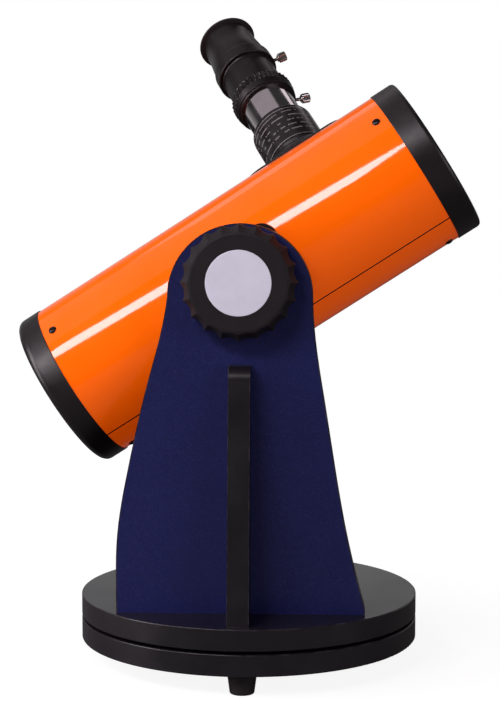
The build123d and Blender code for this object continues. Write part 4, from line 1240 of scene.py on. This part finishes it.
def label_film(name, width, height):
    """Black film with a silver border line and rows of plain light-grey bars."""
    film = Finish(name, (0.012, 0.010, 0.011), 0.25, Specular_IOR_Level=0.5)
    wires = film.wires
    wrap = wires.add("ShaderNodeUVMap", uv_map="wrap").outputs[0]
    place = wires.add("ShaderNodeSeparateXYZ", {0: wrap})
    round_it, along = place.outputs["X"], place.outputs["Y"]
    from_sides = wires.math(
        "MINIMUM", wires.math("SUBTRACT", round_it, width[0]), wires.math("SUBTRACT", width[1], round_it)
    )
    from_ends = wires.math(
        "MINIMUM", wires.math("SUBTRACT", along, height[0]), wires.math("SUBTRACT", height[1], along)
    )
    from_edge = wires.math("MINIMUM", from_sides, from_ends)
    border_place, border_half = 0.55, 0.28
    border = wires.math(
        "LESS_THAN", wires.math("ABSOLUTE", wires.math("SUBTRACT", from_edge, border_place)), border_half
    )
    row_pitch, row_share = 4.6, 0.26
    bar_stretch, bar_scale, bar_cut = 0.26, 1.7, 0.46
    blank_margin = 3.0
    row_place = wires.math("DIVIDE", wires.math("SUBTRACT", along, height[0]), row_pitch)
    rows = wires.math("FRACT", row_place)
    in_row = wires.math(
        "LESS_THAN", wires.math("ABSOLUTE", wires.math("SUBTRACT", rows, 0.5)), row_share / 2
    )
    row_number = wires.math("FLOOR", row_place)
    bar_place = wires.add(
        "ShaderNodeCombineXYZ", {"X": wires.math("MULTIPLY", round_it, bar_stretch), "Y": row_number}
    )
    lengths = wires.noise(bar_place.outputs[0], bar_scale, 0.0)
    in_bar = wires.math("GREATER_THAN", lengths, bar_cut)
    clear = wires.math("GREATER_THAN", from_edge, blank_margin)
    bars = wires.math("MULTIPLY", wires.math("MULTIPLY", in_row, in_bar), clear)
    grain = film.effect(grain_group, Size=0.0008, Blotch_Size=0.01)
    ground = wires.mix(grain["Blotches"], (0.010, 0.008, 0.009, 1), (0.016, 0.013, 0.014, 1))
    printed = wires.mix(wires.math("MULTIPLY", bars, 0.85), ground, (0.20, 0.185, 0.19, 1.0))
    edged = wires.mix(border, printed, (0.50, 0.46, 0.47, 1.0))
    film.feed("Base Color", edged)
    film.feed("Metallic", wires.math("MULTIPLY", border, 0.7))
    film.feed("Roughness", wires.remap(grain["Blotches"], 0.0, 1.0, 0.2, 0.3))
    return film.material


class TELESCOPE_OT_drawtube(bpy.types.Operator):
    """Build the chrome focuser tube and the ring at its end"""

    bl_idname = "telescope.drawtube"
    bl_label = "Focuser tube"

    def execute(self, context):
        pipe = focuser.span("drawtube")
        ring = focuser.span("drawtube_ring")
        outline = [
            (pipe.low, pipe.inner, 0.2 * MM), (pipe.low, pipe.outer, 0.3 * MM),
            (pipe.high, pipe.outer), (pipe.high, pipe.inner),
        ]
        chrome = turned("chrome_pipe", focuser, rounded(outline), segments=144)
        settle(chrome, "drawtube", ["drawtube"], "chrome_tube", finish(chrome_plate))
        lip = 1.4 * MM
        outline = [
            (ring.low, pipe.outer + 0.02 * MM),
            (ring.low, pipe.outer + 1.6 * MM, 0.3 * MM),
            (ring.low + lip, pipe.outer + 1.9 * MM, 0.2 * MM),
            (ring.low + lip, ring.outer - 1.1 * MM, 0.3 * MM),
            (ring.high - 0.2 * MM, ring.outer - 0.2 * MM, 0.4 * MM),
            (ring.high, ring.outer - 1.2 * MM, 0.2 * MM),
            (ring.high, ring.inner),
            (pipe.high, ring.inner),
            (pipe.high, pipe.outer + 0.02 * MM),
        ]
        end = turned("draw_ring", focuser, rounded(outline), segments=144)
        settle(end, "drawtube", ["drawtube_ring"], "anodised", finish(black_anodised))
        return {"FINISHED"}


class TELESCOPE_OT_extension(bpy.types.Operator):
    """Build the extension tube with its ribbed grip ring and its clamp collar"""

    bl_idname = "telescope.extension"
    bl_label = "Extension tube"

    def execute(self, context):
        sizes = context.scene.telescope_sizes
        body = focuser.span("extension_body")
        grip = focuser.span("knurled_ring")
        collar = focuser.span("extension_collar")
        outline = [
            (body.low, collar.inner), (body.low, body.outer),
            (grip.high + 0.6 * MM, body.outer, 0.2 * MM),
            (grip.high + 1.2 * MM, body.outer - 0.35 * MM, 0.3 * MM),
            (body.high - 1.2 * MM, body.outer - 0.35 * MM, 0.3 * MM),
            (body.high - 0.6 * MM, body.outer, 0.2 * MM),
            (body.high, body.outer), (body.high, collar.inner),
        ]
        barrel = turned("extension_barrel", focuser, rounded(outline), segments=144)
        dark = finish(black_anodised)
        settle(barrel, "extension", ["extension_body"], "anodised", dark)
        outline = [
            (grip.low, body.outer + 0.02 * MM),
            (grip.low, grip.outer - 0.7 * MM, 0.1 * MM, 0.0),
            (grip.low + 0.6 * MM, grip.outer, 0.25 * MM, 1.0),
            (grip.high - 0.8 * MM, grip.outer, 0.25 * MM, 1.0),
            (grip.high, grip.outer - 0.9 * MM, 0.2 * MM, 0.0),
            (grip.high, body.outer + 0.02 * MM),
        ]
        blank = turned("grip blank", focuser, rounded(outline), segments=8 * sizes.grip_ribs)
        values = {
            "Centre": tuple(focuser.origin), "Along": tuple(focuser.along),
            "Across": tuple(focuser.across), "Count": sizes.grip_ribs,
            "Depth": sizes.grip_depth, "Hollow": 1.4, "Finish": finish(gloss_plastic),
        }
        ring = bake_tree(blank, shared_tree(scallop_tree), values, "grip_ring")
        shaded(ring.data, 34.0)
        settle(ring, "extension", ["knurled_ring"], "black_plastic")
        outline = [
            (collar.low, collar.inner),
            (collar.low, collar.outer, 0.9 * MM),
            (collar.high, collar.outer, 0.9 * MM),
            (collar.high, collar.inner),
        ]
        clamp = turned("clamp_collar", focuser, rounded(outline), segments=144)
        settle(clamp, "extension", ["extension_collar"], "anodised", dark)
        dress(finish(chrome_plate), "extension_nosepiece")
        dress(finish(coated_glass), "extension_lens")
        dress(finish(black_oxide), "extension_lens_ring")
        return {"FINISHED"}


class TELESCOPE_OT_eyepiece(bpy.types.Operator):
    """Build the eyepiece's body and its flared rim"""

    bl_idname = "telescope.eyepiece"
    bl_label = "Eyepiece"

    def execute(self, context):
        body = focuser.span("eyepiece_body")
        cup = focuser.span("eyecup")
        lens = focuser.span("eye_lens")
        waist = cup.outer - 2.5 * MM
        rise = body.high - body.low
        bore = lens.outer + 0.02 * MM
        foot, taper_share = 0.8 * MM, 0.76
        curve = []
        steps = 12
        for i in range(steps + 1):
            share = i / steps
            ease = share * share * (3 - 2 * share)
            radius = body.outer + (waist - body.outer) * ease
            curve.append((body.low + foot + taper_share * rise * share, radius))
        outline = [(body.low, body.inner), (body.low, body.outer - 0.5 * MM, 0.2 * MM)]
        outline += curve
        outline += [(body.high, waist), (body.high, bore), (lens.low, bore), (lens.low, body.inner)]
        shell = turned("eyepiece_shell", focuser, rounded(outline), segments=144)
        settle(shell, "eyepiece", ["eyepiece_body"], "anodised", finish(black_anodised))
        outline = [
            (cup.low, cup.inner),
            (cup.low, waist, 0.3 * MM),
            (cup.low + 0.5 * MM, cup.outer, 0.5 * MM),
            (cup.high, cup.outer - 0.1 * MM, 0.6 * MM),
            (cup.high, cup.outer - 3.4 * MM, 0.6 * MM),
            (cup.low + 1.0 * MM, cup.inner + 1.0 * MM, 0.4 * MM),
        ]
        rim = turned("eyecup_rim", focuser, rounded(outline), segments=144)
        settle(rim, "eyepiece", ["eyecup"], "rubber_feet", finish(soft_rubber))
        dress(finish(chrome_plate), "eyepiece_barrel")
        dress(finish(coated_glass), "field_lens", "eye_lens")
        dress(finish(black_oxide), "field_lens_ring")
        return {"FINISHED"}


class TELESCOPE_OT_thumbscrews(bpy.types.Operator):
    """Build the two knurled thumbscrews with threaded shanks"""

    bl_idname = "telescope.thumbscrews"
    bl_label = "Thumbscrews"

    def execute(self, context):
        sizes = context.scene.telescope_sizes
        self.build("lower_clamp_screw", "lower_thumbscrew", "lower_screw", lower_screw_axis, sizes)
        self.build("upper_clamp_screw", "upper_thumbscrew", "upper_screw", upper_screw_axis, sizes)
        return {"FINISHED"}

    def build(self, name, node, body, spin, sizes):
        """One screw: tip, thread, plain neck, head with a rounded and knurled grip."""
        span = spin.span(node)
        head_height, neck_length, thread_depth = 5.4 * MM, 1.6 * MM, 0.22 * MM
        head_low = span.high - head_height
        crest = 1.2 * MM
        root = crest - thread_depth
        outline = [(span.low, 0.0), (span.low, root - 0.2 * MM)]
        level = span.low + 0.2 * MM
        while level < head_low - neck_length:
            outline.append((level, root))
            outline.append((level + sizes.thread_pitch / 2, crest))
            level += sizes.thread_pitch
        head = span.outer
        boss = 0.62 * head
        outline += [
            (level, root),
            (head_low - 1.0 * MM, root, 0.15 * MM),
            (head_low - 0.8 * MM, boss, 0.2 * MM),
            (head_low, boss, 0.1 * MM),
            (head_low, head - 0.45 * MM, 0.15 * MM, 0.0),
            (head_low + 0.45 * MM, head, 0.15 * MM, 1.0),
            (span.high - 0.5 * MM, head, 0.15 * MM, 1.0),
            (span.high, head - 0.5 * MM, 0.2 * MM, 0.0),
            (span.high, 0.45 * head, 0.2 * MM, 0.0),
            (span.high - 0.35 * MM, 0.3 * head, 0.2 * MM, 0.0),
            (span.high - 0.35 * MM, 0.0),
        ]
        blank = turned(
            "thumbscrew blank", spin, rounded(outline, closed=False, steps=3),
            segments=8 * sizes.thumb_ribs, closed=False,
        )
        values = {
            "Centre": tuple(spin.origin), "Along": tuple(spin.along), "Across": tuple(spin.across),
            "Count": sizes.thumb_ribs, "Depth": sizes.thumb_depth, "Hollow": 1.3,
            "Finish": finish(knurled_steel),
        }
        screw = bake_tree(blank, shared_tree(scallop_tree), values, name)
        shaded(screw.data, 34.0)
        settle(screw, body, [node], "thumb_steel")


lamp_colour = (1.0, 0.9, 0.95)
middle = Vector((0.0, 0.0, 0.22))
# each softbox: its name, its place, what it faces, its size, and the property that holds its power
softboxes = (
    ("key light", (-0.62, -0.98, 0.98), pivot, (0.85, 0.2), "key_power"),
    ("side light", (-1.15, -0.35, 0.45), middle, (0.5, 0.9), "side_power"),
    ("rim light", (-0.1, 0.75, 1.05), pivot, (1.2, 0.25), "rim_power"),
    ("fill light", (1.1, -0.9, 0.5), middle, (0.8, 0.8), "fill_power"),
    ("top light", (-0.7, 0.15, 1.3), pivot, (1.3, 1.3), "top_power"),
)


class TELESCOPE_OT_studio(bpy.types.Operator):
    """Set up the camera, the pale floor and the soft studio lights"""

    bl_idname = "telescope.studio"
    bl_label = "Studio"

    def execute(self, context):
        studio = context.scene.telescope_studio
        self.place_camera(context, studio)
        self.lay_floor(studio)
        self.light_room(context, studio)
        for name, place, target, size, power in softboxes:
            self.softbox(name, place, target, size, getattr(studio, power))
        context.scene.view_settings.view_transform = "Standard"
        return {"FINISHED"}

    def place_camera(self, context, studio):
        """A plain camera with no shift and no depth of field."""
        data = bpy.data.cameras.new("camera")
        data.lens = studio.camera_lens
        camera = bpy.data.objects.new("camera", data)
        camera.location = studio.camera_place
        camera.rotation_euler = studio.camera_turn
        context.scene.collection.objects.link(camera)
        context.scene.camera = camera

    def lay_floor(self, studio):
        """A wide pale floor at the height that the feet stand on, which throws little light back. Its glow to the
        eye is dimmer near the middle, as a painted contact shadow under the telescope.
        """
        half = 6.0
        mesh = bpy.data.meshes.new("floor")
        corners = [(-half, -half, 0.0), (half, -half, 0.0), (half, half, 0.0), (-half, half, 0.0)]
        mesh.from_pydata(corners, [], [(0, 1, 2, 3)])
        floor = linked_object("floor", mesh)
        pale = Finish("pale floor", (0.2, 0.2, 0.2), 0.9, Specular_IOR_Level=0.0)
        pale.shader.inputs["Emission Color"].default_value = (1.0, 1.0, 1.0, 1.0)
        wires = pale.wires
        seen = wires.add("ShaderNodeLightPath").outputs["Is Camera Ray"]
        away = wires.vector("LENGTH", wires.add("ShaderNodeTexCoord").outputs["Object"])
        # painted shadow: the glow is dimmer under the telescope and full half a metre away
        glow = wires.remap(away, 0.12, 0.5, studio.floor_glow_in_painted_shadow, 1.0)
        pale.feed("Emission Strength", wires.math("MULTIPLY", seen, glow))
        floor.data.materials.append(pale.material)

    def light_room(self, context, studio):
        """White to the eye, and for the pieces a pale wall behind them in a dim room."""
        world = bpy.data.worlds.new("room")
        world.use_nodes = True
        context.scene.world = world
        wires = Wires(world.node_tree)
        seen = wires.add("ShaderNodeLightPath").outputs["Is Camera Ray"]
        toward = wires.add("ShaderNodeTexCoord").outputs["Generated"]
        place = wires.add("ShaderNodeSeparateXYZ", {0: toward})
        low_down = wires.remap(place.outputs["Z"], 0.2, 0.5, studio.backdrop, studio.sky)
        wall = wires.math("MULTIPLY", wires.remap(place.outputs["Y"], 0.35, 0.75), low_down)
        lit = wires.math("MAXIMUM", wall, studio.sky)
        strength = wires.math("MAXIMUM", seen, lit)
        back = world.node_tree.nodes["Background"]
        back.inputs["Color"].default_value = (1.0, 1.0, 1.0, 1.0)
        world.node_tree.links.new(strength, back.inputs["Strength"])

    def softbox(self, name, place, target, size, power):
        """A rectangular light that faces a point."""
        data = bpy.data.lights.new(name, "AREA")
        data.shape = "RECTANGLE"
        data.size, data.size_y = size
        data.energy = power
        data.color = lamp_colour
        light = bpy.data.objects.new(name, data)
        light.location = place
        light.rotation_euler = (Vector(target) - Vector(place)).to_track_quat("-Z", "Y").to_euler()
        bpy.context.scene.collection.objects.link(light)


class TELESCOPE_PT_panel(bpy.types.Panel):
    """Lists the telescope's pieces, sizes, colours and studio"""

    bl_idname = "TELESCOPE_PT_panel"
    bl_label = "Telescope"
    bl_space_type = "VIEW_3D"
    bl_region_type = "UI"
    bl_category = "Telescope"

    def draw(self, context):
        for operator in operators:
            self.layout.operator(operator.bl_idname)
        for label, group in (
            ("Sizes", context.scene.telescope_sizes),
            ("Colours", context.scene.telescope_colours),
            ("Studio", context.scene.telescope_studio),
        ):
            box = self.layout.box()
            box.label(text=label)
            for name in group.__annotations__:
                box.prop(group, name)


operators = (
    TELESCOPE_OT_boards,
    TELESCOPE_OT_hardware,
    TELESCOPE_OT_shell,
    TELESCOPE_OT_end_caps,
    TELESCOPE_OT_optics,
    TELESCOPE_OT_screws,
    TELESCOPE_OT_knob,
    TELESCOPE_OT_focuser,
    TELESCOPE_OT_drawtube,
    TELESCOPE_OT_extension,
    TELESCOPE_OT_eyepiece,
    TELESCOPE_OT_thumbscrews,
    TELESCOPE_OT_studio,
)
property_groups = {
    "telescope_sizes": TelescopeSizes,
    "telescope_colours": TelescopeColours,
    "telescope_studio": TelescopeStudio,
}


def register():
    for name, group in property_groups.items():
        bpy.utils.register_class(group)
        setattr(bpy.types.Scene, name, PointerProperty(type=group))
    for operator in operators:
        bpy.utils.register_class(operator)
    bpy.utils.register_class(TELESCOPE_PT_panel)


def unregister():
    bpy.utils.unregister_class(TELESCOPE_PT_panel)
    for operator in reversed(operators):
        bpy.utils.unregister_class(operator)
    for name, group in property_groups.items():
        delattr(bpy.types.Scene, name)
        bpy.utils.unregister_class(group)


def main():
    """Build every piece."""
    register()
    for operator in operators:
        group, name = operator.bl_idname.split(".")
        getattr(getattr(bpy.ops, group), name)()
    bpy.context.view_layer.update()


if __name__ == "__main__":
    main()
